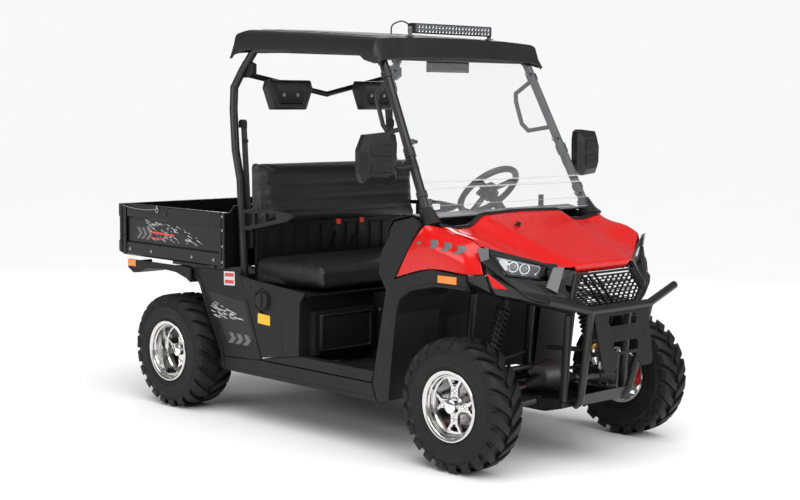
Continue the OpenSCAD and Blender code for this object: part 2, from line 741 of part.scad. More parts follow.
module rim_rear_right() {
    color(alloy) at_wheel(rear_wheel_x, wheelbase, -1) rim(rear_tyre_w, 20);
}

module tyre_front_left() {
    color(rubber) at_wheel(front_wheel_x, 0, 1) tyre(front_tyre_w);
}

module tyre_front_right() {
    color(rubber) at_wheel(front_wheel_x, 0, -1) tyre(front_tyre_w);
}

module tyre_rear_left() {
    color(rubber) at_wheel(rear_wheel_x, wheelbase, 1) tyre(rear_tyre_w);
}

module tyre_rear_right() {
    color(rubber) at_wheel(rear_wheel_x, wheelbase, -1) tyre(rear_tyre_w);
}

frame();
floor_tub();
sills();
front_fenders();
front_fascia();
side_panels();
cowl();
grille();
lamps();
front_bumper();
dash();
windshield();
cage_pillars();
cage_bars();
roof();
mirrors();
headrests();
seat_base();
seat_cushion();
seat_back();
hip_restraints();
seat_belts();
rear_quarters();
suspension_arms();
shocks();
brake_hoses();
powertrain();
rear_hitch();
fuel_cap();
driver_controls();
steering_wheel();
tie_rods();
hood();
knuckle_left();
knuckle_right();
bed();
tailgate();
tailgate_cables();
rim_front_left();
rim_front_right();
rim_rear_left();
rim_rear_right();
tyre_front_left();
tyre_front_right();
tyre_rear_left();
tyre_rear_right();
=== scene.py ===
"""Looks of the side by side utility vehicle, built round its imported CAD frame.

Points are written in millimetres with Y counted backwards from the front axle, as in the CAD source,
and at() turns them into the metres of the shared frame.
"""
import math
import random

import bmesh
import bpy
from mathutils import Matrix, Vector


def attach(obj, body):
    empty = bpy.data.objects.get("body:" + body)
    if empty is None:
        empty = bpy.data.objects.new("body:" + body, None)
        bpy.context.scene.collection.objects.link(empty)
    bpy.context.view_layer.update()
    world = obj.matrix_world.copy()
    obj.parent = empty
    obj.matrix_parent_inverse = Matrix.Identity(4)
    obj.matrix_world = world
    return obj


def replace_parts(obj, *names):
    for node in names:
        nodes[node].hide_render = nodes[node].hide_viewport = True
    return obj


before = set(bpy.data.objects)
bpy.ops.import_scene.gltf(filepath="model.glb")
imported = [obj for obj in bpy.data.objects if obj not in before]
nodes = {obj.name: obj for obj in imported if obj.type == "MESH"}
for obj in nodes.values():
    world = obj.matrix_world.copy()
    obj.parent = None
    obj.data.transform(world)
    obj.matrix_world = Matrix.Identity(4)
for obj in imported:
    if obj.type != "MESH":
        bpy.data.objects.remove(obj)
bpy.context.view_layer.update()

MID_Y = 977
WHEELBASE = 1820
AXLE_Z = 270
SIDES = (("left", 1), ("right", -1))


def at(p):
    """A CAD point in millimetres as a point of the shared frame in metres."""
    return Vector((p[0], p[1] - MID_Y, p[2])) / 1000


def ease(t):
    t = min(max(t, 0.0), 1.0)
    return t * t * (3 - 2 * t)


def lookup(x, table):
    """Straight-line interpolation in a table of (key, value), held flat beyond its ends."""
    if x <= table[0][0]:
        return table[0][1]
    for (x0, v0), (x1, v1) in zip(table, table[1:]):
        if x <= x1:
            return v0 + (v1 - v0) * (x - x0) / (x1 - x0)
    return table[-1][1]


def spline(points, steps):
    """Catmull-Rom curve through the points, with so many steps in each span."""
    p = [Vector(q) for q in points]
    out = []
    for i in range(len(p) - 1):
        a, b, c, d = p[max(i - 1, 0)], p[i], p[i + 1], p[min(i + 2, len(p) - 1)]
        for k in range(steps):
            t = k / steps
            out.append(0.5 * (2 * b + (c - a) * t + (2 * a - 5 * b + 4 * c - d) * t * t
                              + (3 * b - a - 3 * c + d) * t ** 3))
    out.append(p[-1])
    return out


# ---- materials ----

def noise(tree, coords, scale, detail=4.0, rough=0.55):
    node = tree.nodes.new("ShaderNodeTexNoise")
    node.inputs["Scale"].default_value = scale
    node.inputs["Detail"].default_value = detail
    node.inputs["Roughness"].default_value = rough
    tree.links.new(coords, node.inputs["Vector"])
    return node.outputs["Fac"]


def ramp(tree, value, low, high, start=0.3, end=0.7):
    """Colours or greys between two ends, spread over the middle of a noise."""
    node = tree.nodes.new("ShaderNodeValToRGB")
    for element, place, colour in zip(node.color_ramp.elements, (start, end), (low, high)):
        element.position = place
        element.color = (*colour, 1) if len(colour) == 3 else colour
    tree.links.new(value, node.inputs["Fac"])
    return node.outputs["Color"]


def tint(colour, k):
    return tuple(min(c * k, 1.0) for c in colour)


def grey(v):
    return (v, v, v)


def surface(name, colour, rough, metal=0.0, vary=0.12, grain=(600, 0.00015), pattern="noise",
            coat=0.0, sheen=0.0, edge=0.0, broad=5.0, spec=0.5):
    """A finish with broad colour variation, uneven gloss, a fine surface grain and softened edges."""
    m = bpy.data.materials.new(name)
    m.use_nodes = True
    tree = m.node_tree
    shader = tree.nodes["Principled BSDF"]
    shader.inputs["Metallic"].default_value = metal
    shader.inputs["Coat Weight"].default_value = coat
    shader.inputs["Coat Roughness"].default_value = 0.06
    shader.inputs["Sheen Weight"].default_value = sheen
    shader.inputs["Specular IOR Level"].default_value = spec
    coords = tree.nodes.new("ShaderNodeTexCoord").outputs["Object"]
    cloud = noise(tree, coords, broad)
    tree.links.new(ramp(tree, cloud, tint(colour, 1 - vary), tint(colour, 1 + vary)),
                   shader.inputs["Base Color"])
    smear = noise(tree, coords, broad * 4.3, 6.0, 0.65)
    tree.links.new(ramp(tree, smear, grey(max(rough - 0.06, 0.02)), grey(min(rough + 0.06, 1))),
                   shader.inputs["Roughness"])
    if pattern == "leather":
        cells = tree.nodes.new("ShaderNodeTexVoronoi")
        cells.feature = "DISTANCE_TO_EDGE"
        cells.inputs["Scale"].default_value = grain[0]
        tree.links.new(coords, cells.inputs["Vector"])
        height = cells.outputs["Distance"]
    else:
        height = noise(tree, coords, grain[0], 3.0, 0.6)
    bump = tree.nodes.new("ShaderNodeBump")
    bump.inputs["Strength"].default_value = 0.6
    bump.inputs["Distance"].default_value = grain[1]
    tree.links.new(height, bump.inputs["Height"])
    if edge:
        bevel = tree.nodes.new("ShaderNodeBevel")
        bevel.samples = 4
        bevel.inputs["Radius"].default_value = edge
        tree.links.new(bevel.outputs["Normal"], bump.inputs["Normal"])
    tree.links.new(bump.outputs["Normal"], shader.inputs["Normal"])
    return m


def clear(name, colour, rough, ior=1.49, alpha=0.2):
    """Thin clear plastic: mostly see-through, with a glossy face."""
    m = bpy.data.materials.new(name)
    m.use_nodes = True
    tree = m.node_tree
    shader = tree.nodes["Principled BSDF"]
    shader.inputs["Base Color"].default_value = (*colour, 1)
    shader.inputs["Alpha"].default_value = alpha
    shader.inputs["IOR"].default_value = ior
    coords = tree.nodes.new("ShaderNodeTexCoord").outputs["Object"]
    haze = noise(tree, coords, 9.0)
    tree.links.new(ramp(tree, haze, grey(rough), grey(rough + 0.05)), shader.inputs["Roughness"])
    return m


PAINT = surface("red_paint", (0.64, 0.006, 0.005), 0.26, vary=0.04, grain=(140, 0.00004), coat=0.35,
                edge=0.003, spec=0.3)
PLASTIC = surface("charcoal_plastic", grey(0.0095), 0.46, grain=(1100, 0.00018), edge=0.003, vary=0.15,
                  spec=0.28)
BLACK_PLASTIC = surface("black_plastic", grey(0.013), 0.42, grain=(900, 0.00012), edge=0.002, vary=0.2,
                        spec=0.28)
ROOF_PLASTIC = surface("roof_plastic", grey(0.010), 0.47, grain=(1300, 0.0002), edge=0.004, vary=0.2)
FINS_PLASTIC = surface("light_grey_plastic", grey(0.115), 0.42, grain=(900, 0.0001), edge=0.001)
POWDER = surface("powder_coat", grey(0.014), 0.34, metal=0.15, grain=(700, 0.0001), edge=0.0015, vary=0.2)
BED_PAINT = surface("bed_paint", grey(0.0055), 0.28, metal=0.1, grain=(260, 0.00006), edge=0.002, vary=0.2,
                    coat=0.2, spec=0.28)
CHASSIS = surface("chassis_paint", grey(0.010), 0.38, metal=0.1, grain=(500, 0.00012), edge=0.0015, vary=0.3)
RUBBER = surface("tyre_rubber", (0.0085, 0.0085, 0.009), 0.56, grain=(420, 0.00035), vary=0.3, broad=12,
                 edge=0.002, spec=0.28)
SOFT_RUBBER = surface("soft_rubber", grey(0.012), 0.5, grain=(700, 0.0002), vary=0.2)
ALLOY = surface("polished_alloy", (0.72, 0.71, 0.69), 0.16, metal=1.0, vary=0.03, grain=(300, 0.00003),
                edge=0.001)
CHROME = surface("chrome", (0.92, 0.92, 0.93), 0.07, metal=1.0, vary=0.02, grain=(200, 0.00001), edge=0.001)
STEEL = surface("bare_steel", (0.42, 0.41, 0.40), 0.35, metal=1.0, vary=0.15, grain=(500, 0.00006), broad=20)
CAST = surface("cast_metal", (0.16, 0.16, 0.17), 0.5, metal=0.7, vary=0.2, grain=(240, 0.0004), broad=14,
               edge=0.002)
BRASS = surface("yellow_zinc", (0.60, 0.40, 0.12), 0.32, metal=1.0, vary=0.25, grain=(400, 0.00004), broad=30)
VINYL = surface("black_vinyl", grey(0.011), 0.44, grain=(420, 0.00035), pattern="leather", vary=0.2)
THREAD = surface("seam_thread", grey(0.030), 0.7, grain=(2500, 0.0002), vary=0.3, broad=200)
WEBBING = surface("belt_webbing", grey(0.012), 0.62, grain=(1500, 0.0005), sheen=0.15, vary=0.25, broad=60)
CALIPER = surface("caliper_red", (0.62, 0.01, 0.01), 0.3, grain=(300, 0.0001), edge=0.001, coat=0.3)
BUTTON = surface("button_red", (0.75, 0.02, 0.012), 0.35, grain=(300, 0.00005))
AMBER = surface("amber_lens", (0.85, 0.24, 0.01), 0.2, grain=(600, 0.0004), vary=0.06, coat=0.6)
RED_LENS = surface("red_lens", (0.62, 0.012, 0.012), 0.2, grain=(600, 0.0004), vary=0.08, coat=0.6)
WHITE_TRIM = surface("white_trim", grey(0.62), 0.45, grain=(500, 0.00003), vary=0.05)
GREY_DECAL = surface("grey_decal", grey(0.13), 0.38, grain=(500, 0.00003), vary=0.08)
YELLOW_DECAL = surface("yellow_decal", (0.85, 0.50, 0.02), 0.4, grain=(500, 0.00003), vary=0.05)
SILVER = surface("reflector_silver", (0.80, 0.82, 0.86), 0.12, metal=1.0, vary=0.05, grain=(160, 0.0003))
LENS = surface("projector_lens", (0.05, 0.06, 0.08), 0.05, grain=(40, 0.00001), coat=1.0, spec=0.9)
LED = surface("led_face", (0.80, 0.83, 0.86), 0.2, metal=0.6, grain=(900, 0.0002))
SHEET = clear("clear_sheet", (0.55, 0.58, 0.60), 0.04, alpha=0.09)
COVER = clear("lamp_cover", (0.85, 0.90, 0.95), 0.02, alpha=0.12)
MIRROR_GLASS = surface("mirror_glass", (0.75, 0.78, 0.80), 0.03, metal=1.0, vary=0.01, grain=(50, 0.000001))


def paint_node(material, *names):
    """Gives a CAD node its finish; its mesh stays as it is."""
    for name in names:
        slots = nodes[name].data.materials
        slots.clear()
        slots.append(material)


# ---- building pieces ----

def new_piece(name, verts, faces, material, body, replaces=(), slot=None, sharp=35, placed=True):
    """A mesh piece that rides on a body. Its points are CAD millimetres unless they are placed already."""
    mesh = bpy.data.meshes.new(name)
    mesh.from_pydata([at(v) if placed else v for v in verts], [], faces)
    tidy = bmesh.new()
    tidy.from_mesh(mesh)
    bmesh.ops.recalc_face_normals(tidy, faces=tidy.faces)
    tidy.to_mesh(mesh)
    tidy.free()
    mesh.polygons.foreach_set("use_smooth", [True] * len(mesh.polygons))
    mesh.set_sharp_from_angle(angle=math.radians(sharp))
    mesh.materials.append(material)
    thing = bpy.data.objects.new(name, mesh)
    bpy.context.scene.collection.objects.link(thing)
    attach(thing, body)
    if replaces:
        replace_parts(thing, *replaces)
    return thing


def modify(thing, kind, **settings):
    modifier = thing.modifiers.new(kind.title(), kind)
    for key, value in settings.items():
        setattr(modifier, key, value)
    return thing


def bevelled(thing, width, segments=2):
    """Rounds the sharp edges of a piece; width is in millimetres."""
    return modify(thing, "BEVEL", width=width / 1000, segments=segments, limit_method="ANGLE",
                  angle_limit=math.radians(35))


class Shape:
    """Vertices and faces gathered from several simple forms, in CAD millimetres."""

    def __init__(self):
        self.verts = []
        self.faces = []

    def add(self, verts, faces):
        base = len(self.verts)
        self.verts += [Vector(v) for v in verts]
        self.faces += [tuple(base + i for i in f) for f in faces]
        return self

    def loft(self, rings, closed_ends=True):
        """Skin over rings of the same number of points, each ring closed on itself."""
        n = len(rings[0])
        verts = [v for ring in rings for v in ring]
        faces = [(i * n + k, (i + 1) * n + k, (i + 1) * n + (k + 1) % n, i * n + (k + 1) % n)
                 for i in range(len(rings) - 1) for k in range(n)]
        if closed_ends:
            faces += [tuple(range(n)), tuple((len(rings) - 1) * n + k for k in reversed(range(n)))]
        return self.add(verts, faces)

    def grid(self, rows):
        """Open skin over rows of the same number of points."""
        n = len(rows[0])
        faces = [(i * n + k, (i + 1) * n + k, (i + 1) * n + k + 1, i * n + k + 1)
                 for i in range(len(rows) - 1) for k in range(n - 1)]
        return self.add([v for row in rows for v in row], faces)

    def box(self, low, high):
        corners = [(x, y, z) for x in (low[0], high[0]) for y in (low[1], high[1]) for z in (low[2], high[2])]
        return self.add(corners, [(0, 1, 3, 2), (4, 6, 7, 5), (0, 4, 5, 1), (2, 3, 7, 6), (0, 2, 6, 4),
                                  (1, 5, 7, 3)])

    def prism(self, outline, way):
        """A flat outline of points pushed along the vector way."""
        ring = [Vector(p) for p in outline]
        return self.loft([ring, [p + Vector(way) for p in ring]])

    def tube(self, path, radius, sides=12):
        """Round bar along a path; radius is a number or one number for each point."""
        path = [Vector(p) for p in path]
        radii = radius if isinstance(radius, (list, tuple)) else [radius] * len(path)
        heading = (path[1] - path[0]).normalized()
        side = heading.orthogonal().normalized()
        rings = []
        for i, p in enumerate(path):
            ahead = (path[min(i + 1, len(path) - 1)] - path[max(i - 1, 0)]).normalized()
            side = (side - ahead * side.dot(ahead)).normalized()
            up = ahead.cross(side)
            rings.append([p + (side * math.cos(a) + up * math.sin(a)) * radii[i]
                          for a in (2 * math.pi * k / sides for k in range(sides))])
        return self.loft(rings)

    def lathe(self, profile, centre, axis, sides=32, closed=False):
        """Turns (radius, distance along the axis) points round an axis."""
        axis = Vector(axis).normalized()
        side = axis.orthogonal().normalized()
        up = axis.cross(side)
        rings = [[Vector(centre) + axis * h + (side * math.cos(a) + up * math.sin(a)) * r
                  for a in (2 * math.pi * k / sides for k in range(sides))] for r, h in profile]
        if closed:
            rings.append(rings[0])
        return self.loft(rings, closed_ends=not closed)

    def bolt(self, p, axis, head=8.0, tall=4.0):
        """Flanged hexagon head standing on the point p."""
        self.lathe([(head * 1.15, 0), (head * 1.15, tall * 0.25), (head * 0.9, tall * 0.3)], p, axis, 16)
        top = Vector(p) + Vector(axis).normalized() * tall * 0.3
        return self.lathe([(head * 0.85, 0), (head * 0.85, tall * 0.55), (head * 0.7, tall * 0.7)], top, axis,
                          6)

    def mirrored(self):
        """The same forms again on the other side of the vehicle."""
        return self.add([(-v.x, v.y, v.z) for v in self.verts], [tuple(reversed(f)) for f in self.faces])

    def moved(self, matrix):
        self.verts = [matrix @ v for v in self.verts]
        return self

    def piece(self, name, material, body, **extra):
        return new_piece(name, self.verts, self.faces, material, body, **extra)


# ---- camera, light and floor ----

def make_camera():
    turn, dip, roll = math.radians(-44.163), math.radians(5.730), math.radians(0.458)
    ahead = Vector((-math.sin(turn) * math.cos(dip), math.cos(turn) * math.cos(dip), -math.sin(dip)))
    level = Vector((math.cos(turn), math.sin(turn), 0))
    up = level.cross(ahead)
    right = level * math.cos(roll) + up * math.sin(roll)
    top = up * math.cos(roll) - level * math.sin(roll)
    camera = bpy.data.objects.new("camera", bpy.data.cameras.new("camera"))
    bpy.context.scene.collection.objects.link(camera)
    camera.matrix_world = Matrix((right, top, -ahead)).transposed().to_4x4()
    camera.location = (-4.88238, -5.09263, 1.48424)
    camera.data.lens = 68.72
    camera.data.sensor_width = 36
    camera.data.clip_end = 60
    bpy.context.scene.camera = camera


def softbox(name, place, target, size, power):
    light = bpy.data.lights.new(name, "AREA")
    light.shape = "RECTANGLE"
    light.size, light.size_y = size
    light.energy = power
    holder = bpy.data.objects.new(name, light)
    bpy.context.scene.collection.objects.link(holder)
    holder.location = place
    holder.rotation_euler = (Vector(target) - Vector(place)).to_track_quat("-Z", "Y").to_euler()


def make_studio():
    mesh = bpy.data.meshes.new("floor")
    mesh.from_pydata([(-30, -30, 0), (30, -30, 0), (30, 30, 0), (-30, 30, 0)], [], [(0, 1, 2, 3)])
    mesh.materials.append(surface("floor_white", grey(0.92), 0.8, grain=(60, 0.00005), vary=0.005, broad=0.8))
    ground = bpy.data.objects.new("floor", mesh)
    bpy.context.scene.collection.objects.link(ground)
    world = bpy.data.worlds.new("studio")
    world.use_nodes = True
    tree = world.node_tree
    seen = tree.nodes["Background"]
    seen.inputs["Color"].default_value = (0.935, 0.94, 0.94, 1)
    seen.inputs["Strength"].default_value = 1.0
    dim = tree.nodes.new("ShaderNodeBackground")
    dim.inputs["Color"].default_value = (0.95, 0.97, 1.0, 1)
    dim.inputs["Strength"].default_value = 0.20
    path = tree.nodes.new("ShaderNodeLightPath")
    mix = tree.nodes.new("ShaderNodeMixShader")
    tree.links.new(path.outputs["Is Camera Ray"], mix.inputs["Fac"])
    tree.links.new(dim.outputs["Background"], mix.inputs[1])
    tree.links.new(seen.outputs["Background"], mix.inputs[2])
    tree.links.new(mix.outputs["Shader"], tree.nodes["World Output"].inputs["Surface"])
    bpy.context.scene.world = world
    bpy.context.scene.view_settings.view_transform = "Standard"
    sun = bpy.data.lights.new("overhead", "SUN")
    sun.energy = 3.1
    sun.angle = math.radians(70)
    holder = bpy.data.objects.new("overhead", sun)
    bpy.context.scene.collection.objects.link(holder)
    holder.rotation_euler = Vector((0.25, 0.42, -1.0)).to_track_quat("-Z", "Y").to_euler()
    softbox("side", (-4.6, 0.2, 1.9), (0, 0, 0.7), (4.0, 1.2), 55)
    softbox("front", (0.2, -5.4, 2.0), (0, -0.8, 0.6), (2.2, 1.6), 60)
    softbox("back", (3.4, 3.6, 2.6), (0, 0.6, 0.8), (3.0, 1.6), 60)


make_camera()
make_studio()


# ---- wheels ----

WHEELS = []
for _side_name, _side in SIDES:
    WHEELS.append(("front_" + _side_name, _side, 539, 0, 158, 76, 40))
    WHEELS.append(("rear_" + _side_name, _side, 558, WHEELBASE, 208, 102, 20))


def build_tyre(name, side, x, y, width):
    """Carcass with moulded rings, and chevron lugs that run over the shoulders."""
    half = width / 2

    def point(lat, angle, radius):
        return (side * (x + lat), y - radius * math.cos(angle), AXLE_Z + radius * math.sin(angle))

    wall = [(half - 9, 146), (half - 4, 150), (half - 2, 154), (half - 4, 158), (half - 1.5, 164),
            (half - 0.5, 182), (half - 1.5, 203), (half - 0.5, 208), (half - 3, 213), (half - 5, 228),
            (half - 10, 240), (half - 20, 248), (half - 40, 253)]
    profile = wall + [(0, 255)] + [(-lat, r) for lat, r in reversed(wall)]
    profile += [(-half + 14, 129.5), (half - 14, 129.5)]
    turns = 96
    shape = Shape()
    rings = [[point(lat, 2 * math.pi * k / turns, r) for lat, r in profile] for k in range(turns)]
    shape.loft(rings + [rings[0]], closed_ends=False)
    pitch = 2 * math.pi / 22
    stations = [(3 / half, 270, 246, 3.2), (0.40, 269.6, 246, 4.0), (0.74, 268, 244, 4.9),
                (0.90, 262, 238, 5.1),
                (0.985, 247, 232, 4.9), (1.0, 232, 226, 4.1)]
    for hand in (1, -1):
        for k in range(22):
            start = (k + (0.5 if hand < 0 else 0)) * pitch
            rings = []
            for share, top, base, spread in stations:
                middle = start + math.radians(15 * share)
                wide = math.radians(spread)
                lat = hand * share * half
                sunk = hand * min(share, 0.93) * half
                rings.append([point(sunk, middle - wide * 1.12, base), point(lat, middle - wide, top),
                              point(lat, middle + wide, top), point(sunk, middle + wide * 1.12, base)])
            shape.loft(rings)
    return shape.piece("tyre_look_" + name, RUBBER, "wheel_" + name, replaces=("tyre_" + name,),
                       slot="tyre_rubber", sharp=30)


def build_rim(name, side, x, y, width, lip, face):
    """Polished four-spoke wheel with a deep outer dish."""
    half = width / 2
    centre = (side * x, y, AXLE_Z)
    out = (side, 0, 0)
    shape = Shape()
    shape.lathe([(127, -half + 16), (127, lip - 18), (131, lip - 10), (143.5, lip - 8), (144, lip - 1),
                 (142.5, lip + 1), (138, lip + 1), (129, lip - 2), (126.5, lip - 5), (125, lip - 14),
                 (120, lip - 18), (119, face + 2), (112, face - 2), (111, face - 16), (118, face - 22),
                 (119, -half + 16)], centre, out, 96, closed=True)

    def spread(points, low, high, quarter):
        """Flat outline in (distance from the hub, distance aside) on one of the four spokes."""
        a = quarter * math.pi / 2
        ring = [(side * (x + low), y + u * math.cos(a) - v * math.sin(a),
                 AXLE_Z + u * math.sin(a) + v * math.cos(a)) for u, v in points]
        shape.prism(ring, (side * (high - low), 0, 0))

    for q in range(4):
        spread([(24, -25), (44, -19), (58, -18), (76, -20), (76, 20), (58, 18), (44, 19), (24, 25)],
               face - 14, face, q)
        for hand in (1, -1):
            leg = [(70, 8), (74, 20), (110, 44), (113, 36), (113, 26), (88, 17), (84, 8)]
            spread([(u, hand * v) for u, v in leg], face - 14, face - 0.4, q)
        spread([(102, -30), (113, -34), (117, 0), (113, 34), (102, 30), (104, 0)], face - 14, face - 0.8, q)
    shape.lathe([(0, face - 50), (41, face - 50), (41, face - 6), (38, face - 2), (0, face - 2)], centre, out,
                40)
    rim = shape.piece("rim_look_" + name, ALLOY, "wheel_" + name, replaces=("rim_" + name,),
                      slot="alloy", sharp=30)
    cap = Shape()
    cap.lathe([(35, face - 2), (35, face + 4), (32, face + 6), (31, face + 20), (29, face + 27),
               (24, face + 30),
               (0, face + 31)], centre, out, 40)
    for q in range(4):
        a = q * math.pi / 2
        spot = (side * x, y + 55 * math.cos(a), AXLE_Z + 55 * math.sin(a))
        cap.lathe([(14, face - 1), (14, face + 2), (12.5, face + 3), (11, face + 1), (11, face - 1)], spot,
                  out, 24)
        cap.lathe([(9, face), (9, face + 9), (7.5, face + 12), (4.5, face + 13)], spot, out, 6)
    cap.piece("rim_cap_" + name, CHROME, "wheel_" + name, slot="alloy", sharp=30)
    valve = Shape()
    valve.tube([(side * (x + face - 10), y + 78, AXLE_Z + 78), (side * (x + face + 16), y + 70, AXLE_Z + 70)],
               3.2, 10)
    valve.piece("valve_" + name, SOFT_RUBBER, "wheel_" + name)
    disc = Shape()
    disc.lathe([(42, face - 58), (85, face - 58), (85, face - 53.5), (42, face - 53.5)], centre, out, 64)
    disc.lathe([(41.5, face - 56), (41.5, face - 46), (30, face - 45)], centre, out, 40)
    disc.piece("brake_disc_" + name, STEEL, "wheel_" + name, slot="bare_steel")
    # Painted shade: black dots laid on the disc face stand in for the dark inside of the drilled holes; no holes are
    # cut.
    hole_shades = Shape()
    for k in range(24):
        a = 2 * math.pi * k / 24
        r = 58 + 9 * (k % 3)
        spot = (side * x, y + r * math.cos(a), AXLE_Z + r * math.sin(a))
        hole_shades.lathe([(3.2, face - 54), (3.2, face - 53.2)], spot, out, 10)
    hole_shades.piece("brake_disc_hole_shades_" + name, BLACK_PLASTIC, "wheel_" + name)
    return rim


for _name, _side, _x, _y, _w, _lip, _face in WHEELS:
    build_tyre(_name, _side, _x, _y, _w)
    build_rim(_name, _side, _x, _y, _w, _lip, _face)


def build_caliper(name, side, x, y, face, body):
    """Two-piston caliper that straddles the front edge of the brake disc."""
    shape = Shape()
    for low, high in ((face - 78, face - 61), (face - 51, face - 44)):
        ring = []
        for a in range(150, 211, 10):
            ring.append((side * (x + low), y + 94 * math.cos(math.radians(a)),
                         AXLE_Z + 94 * math.sin(math.radians(a))))
        for a in range(210, 149, -10):
            ring.append((side * (x + low), y + 60 * math.cos(math.radians(a)),
                         AXLE_Z + 60 * math.sin(math.radians(a))))
        shape.prism(ring, (side * (high - low), 0, 0))
    shape.box((side * (x + face - 78) if side > 0 else side * (x + face - 44), y - 108, AXLE_Z - 34),
              (side * (x + face - 44) if side > 0 else side * (x + face - 78), y - 90, AXLE_Z + 34))
    return bevelled(shape.piece("caliper_" + name, CALIPER, body), 3)


build_caliper("front_left", 1, 539, 0, 40, "knuckle_left")
build_caliper("front_right", -1, 539, 0, 40, "knuckle_right")
build_caliper("rear_left", 1, 558, WHEELBASE, 20, "chassis")
build_caliper("rear_right", -1, 558, WHEELBASE, 20, "chassis")


# ---- shock absorbers, hoses ----

def build_shocks():
    coils, chrome, collars, bodies = Shape(), Shape(), Shape(), Shape()
    for y in (46, WHEELBASE + 60):
        top, foot = Vector((238, y, 652)), Vector((371, y, 302))
        run = (foot - top).normalized()
        side = run.orthogonal().normalized()
        up = run.cross(side)
        turns, wire = 10, 5.5
        helix = []
        for k in range(turns * 20 + 1):
            a = 2 * math.pi * k / 20
            share = k / (turns * 20)
            helix.append(top + run * (30 + 215 * share) + (side * math.cos(a) + up * math.sin(a)) * (23 + 3 * share))
        coils.tube(helix, wire, 8)
        bodies.lathe([(10, 0), (14, 4), (14, 26), (30, 28), (30, 33), (16, 36), (16, 240)], top, run, 24)
        bodies.lathe([(13, -9), (13, 9)], top - Vector((0, 9, 0)) + Vector((0, 9, 0)), (0, 1, 0), 20)
        collars.lathe([(33, 246), (34, 250), (34, 256), (30, 258), (30, 263), (33, 265), (33, 270),
                       (20, 272)],
                      top, run, 28)
        chrome.lathe([(17, 268), (17, 338), (13, 343), (13, 350)], top, run, 28)
        bodies.lathe([(12, 348), (12, 370), (8, 374)], top, run, 20)
    for shape, name, material in ((coils, "shock_springs", BLACK_PLASTIC), (bodies, "shock_bodies", CHASSIS),
                                  (chrome, "shock_tubes", CHROME), (collars, "shock_collars", BRASS)):
        thing = shape.mirrored().piece(name, material, "chassis")
        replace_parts(thing, "shocks")


build_shocks()
HOSE_ROUTE = [(206, -40, 450), (230, -36, 447), (262, -30, 440), (300, -24, 433), (340, -19, 428),
              (376, -15, 421), (402, -13, 411), (416, -13, 397)]
_hoses = Shape().tube(spline(HOSE_ROUTE, 4), 4.5, 10).mirrored()
_hoses.piece("brake_hose_look", SOFT_RUBBER, "chassis", replaces=("brake_hoses",), slot="cable_sheath")


# ---- front body ----

def bulge_x(y):
    """Half the width of the hood's raised centre."""
    return lookup(y, [(-271, 132), (-200, 174), (0, 210), (180, 232)])


def hood_z(x, y):
    return (966 + 0.335 * (y - 200) + (20 + 27 * (y + 271) / 480) * (1 - ease((abs(x) - bulge_x(y)) / 110))
            + 14 * ease((abs(x) - 400) / 90) * ease((y + 120) / 120)
            + 18 * ease((abs(x) - 330) / 120) * (1 - ease((y + 20) / 150)))


def hood_front(x):
    return lookup(abs(x), [(0, -271), (197, -269), (300, -198), (465, -90), (500, -60)])


def hood_rear(x):
    return 178 - 0.05 * abs(x)


def build_hood():
    rows = []
    for i in range(-100, 101):
        x = 5.0 * i
        row = []
        for k in range(41):
            y = hood_front(x) + (hood_rear(x) - hood_front(x)) * k / 40
            row.append((x, y, hood_z(x, y)))
        lip = row[0]
        fold = 1 - ease((abs(x) - 150) / 35)
        rows.append([(x, lip[1] + 0.5 + 7.5 * fold, lip[2] - 2 - 38 * fold),
                     (x, lip[1] + fold, lip[2] - 1.3 - 24 * fold),
                     (x, lip[1] - 1.5 * fold, lip[2] - 0.6 - 7 * fold)] + row)
    thing = Shape().grid(rows).piece("hood_skin", PAINT, "hood", replaces=("hood",), slot="red_plastic",
                                     sharp=50)
    modify(thing, "SOLIDIFY", thickness=0.004, offset=-1)
    ears = Shape()
    for x in (100, -140):
        ears.box((x, -261, 806), (x + 40, -249, 828))
        ears.lathe([(9, 0), (9, 40)], (x, -255, 806), (1, 0, 0), 20)
    ears.piece("hood_hinge_ears", CHASSIS, "hood")


def build_side_panels():
    """Red skins between the hood and the wheel arches."""
    side = [[(505, -64, 898), (513, -68, 862), (514, -76, 826), (510, -82, 794)],
            [(505, -12, 923), (548, -18, 894), (564, -26, 850), (566, -34, 794)],
            [(505, 90, 945), (556, 90, 926), (580, 90, 880), (580, 90, 804)],
            [(505, 146, 959), (552, 160, 949), (580, 180, 905), (580, 196, 792)],
            [(528, 182, 969), (562, 204, 963), (580, 264, 872), (580, 336, 752)]]
    along = [spline(row, 8) for row in side]
    columns = [spline([row[k] for row in along], 8) for k in range(len(along[0]))]
    shape = Shape().grid(columns).mirrored()
    thing = shape.piece("side_panel_skin", PAINT, "chassis", replaces=("side_panels",), slot="red_plastic",
                        sharp=60)
    modify(thing, "SOLIDIFY", thickness=0.005, offset=-1)


def build_cowl():
    """Stepped black trim between the hood and the windshield."""
    rows = []
    for i in range(-50, 51):
        x = 10.0 * i
        y = hood_rear(x)
        z = hood_z(x, y)
        rows.append([(x, y + 3, z - 14), (x, y + 3, z + 3), (x, y + 6, z + 6), (x, y + 11, z + 6),
                     (x, y + 12, z + 11), (x, y + 20, z + 11), (x, y + 21, z - 14)])
    thing = Shape().grid(rows).piece("cowl_trim", BLACK_PLASTIC, "chassis", replaces=("cowl",),
                                     slot="black_plastic")
    modify(thing, "SOLIDIFY", thickness=0.003, offset=-1)


build_hood()
build_side_panels()
build_cowl()

GRILLE = [Vector((155, -330, 647)), Vector((236, -303, 700)), Vector((185, -281, 787))]


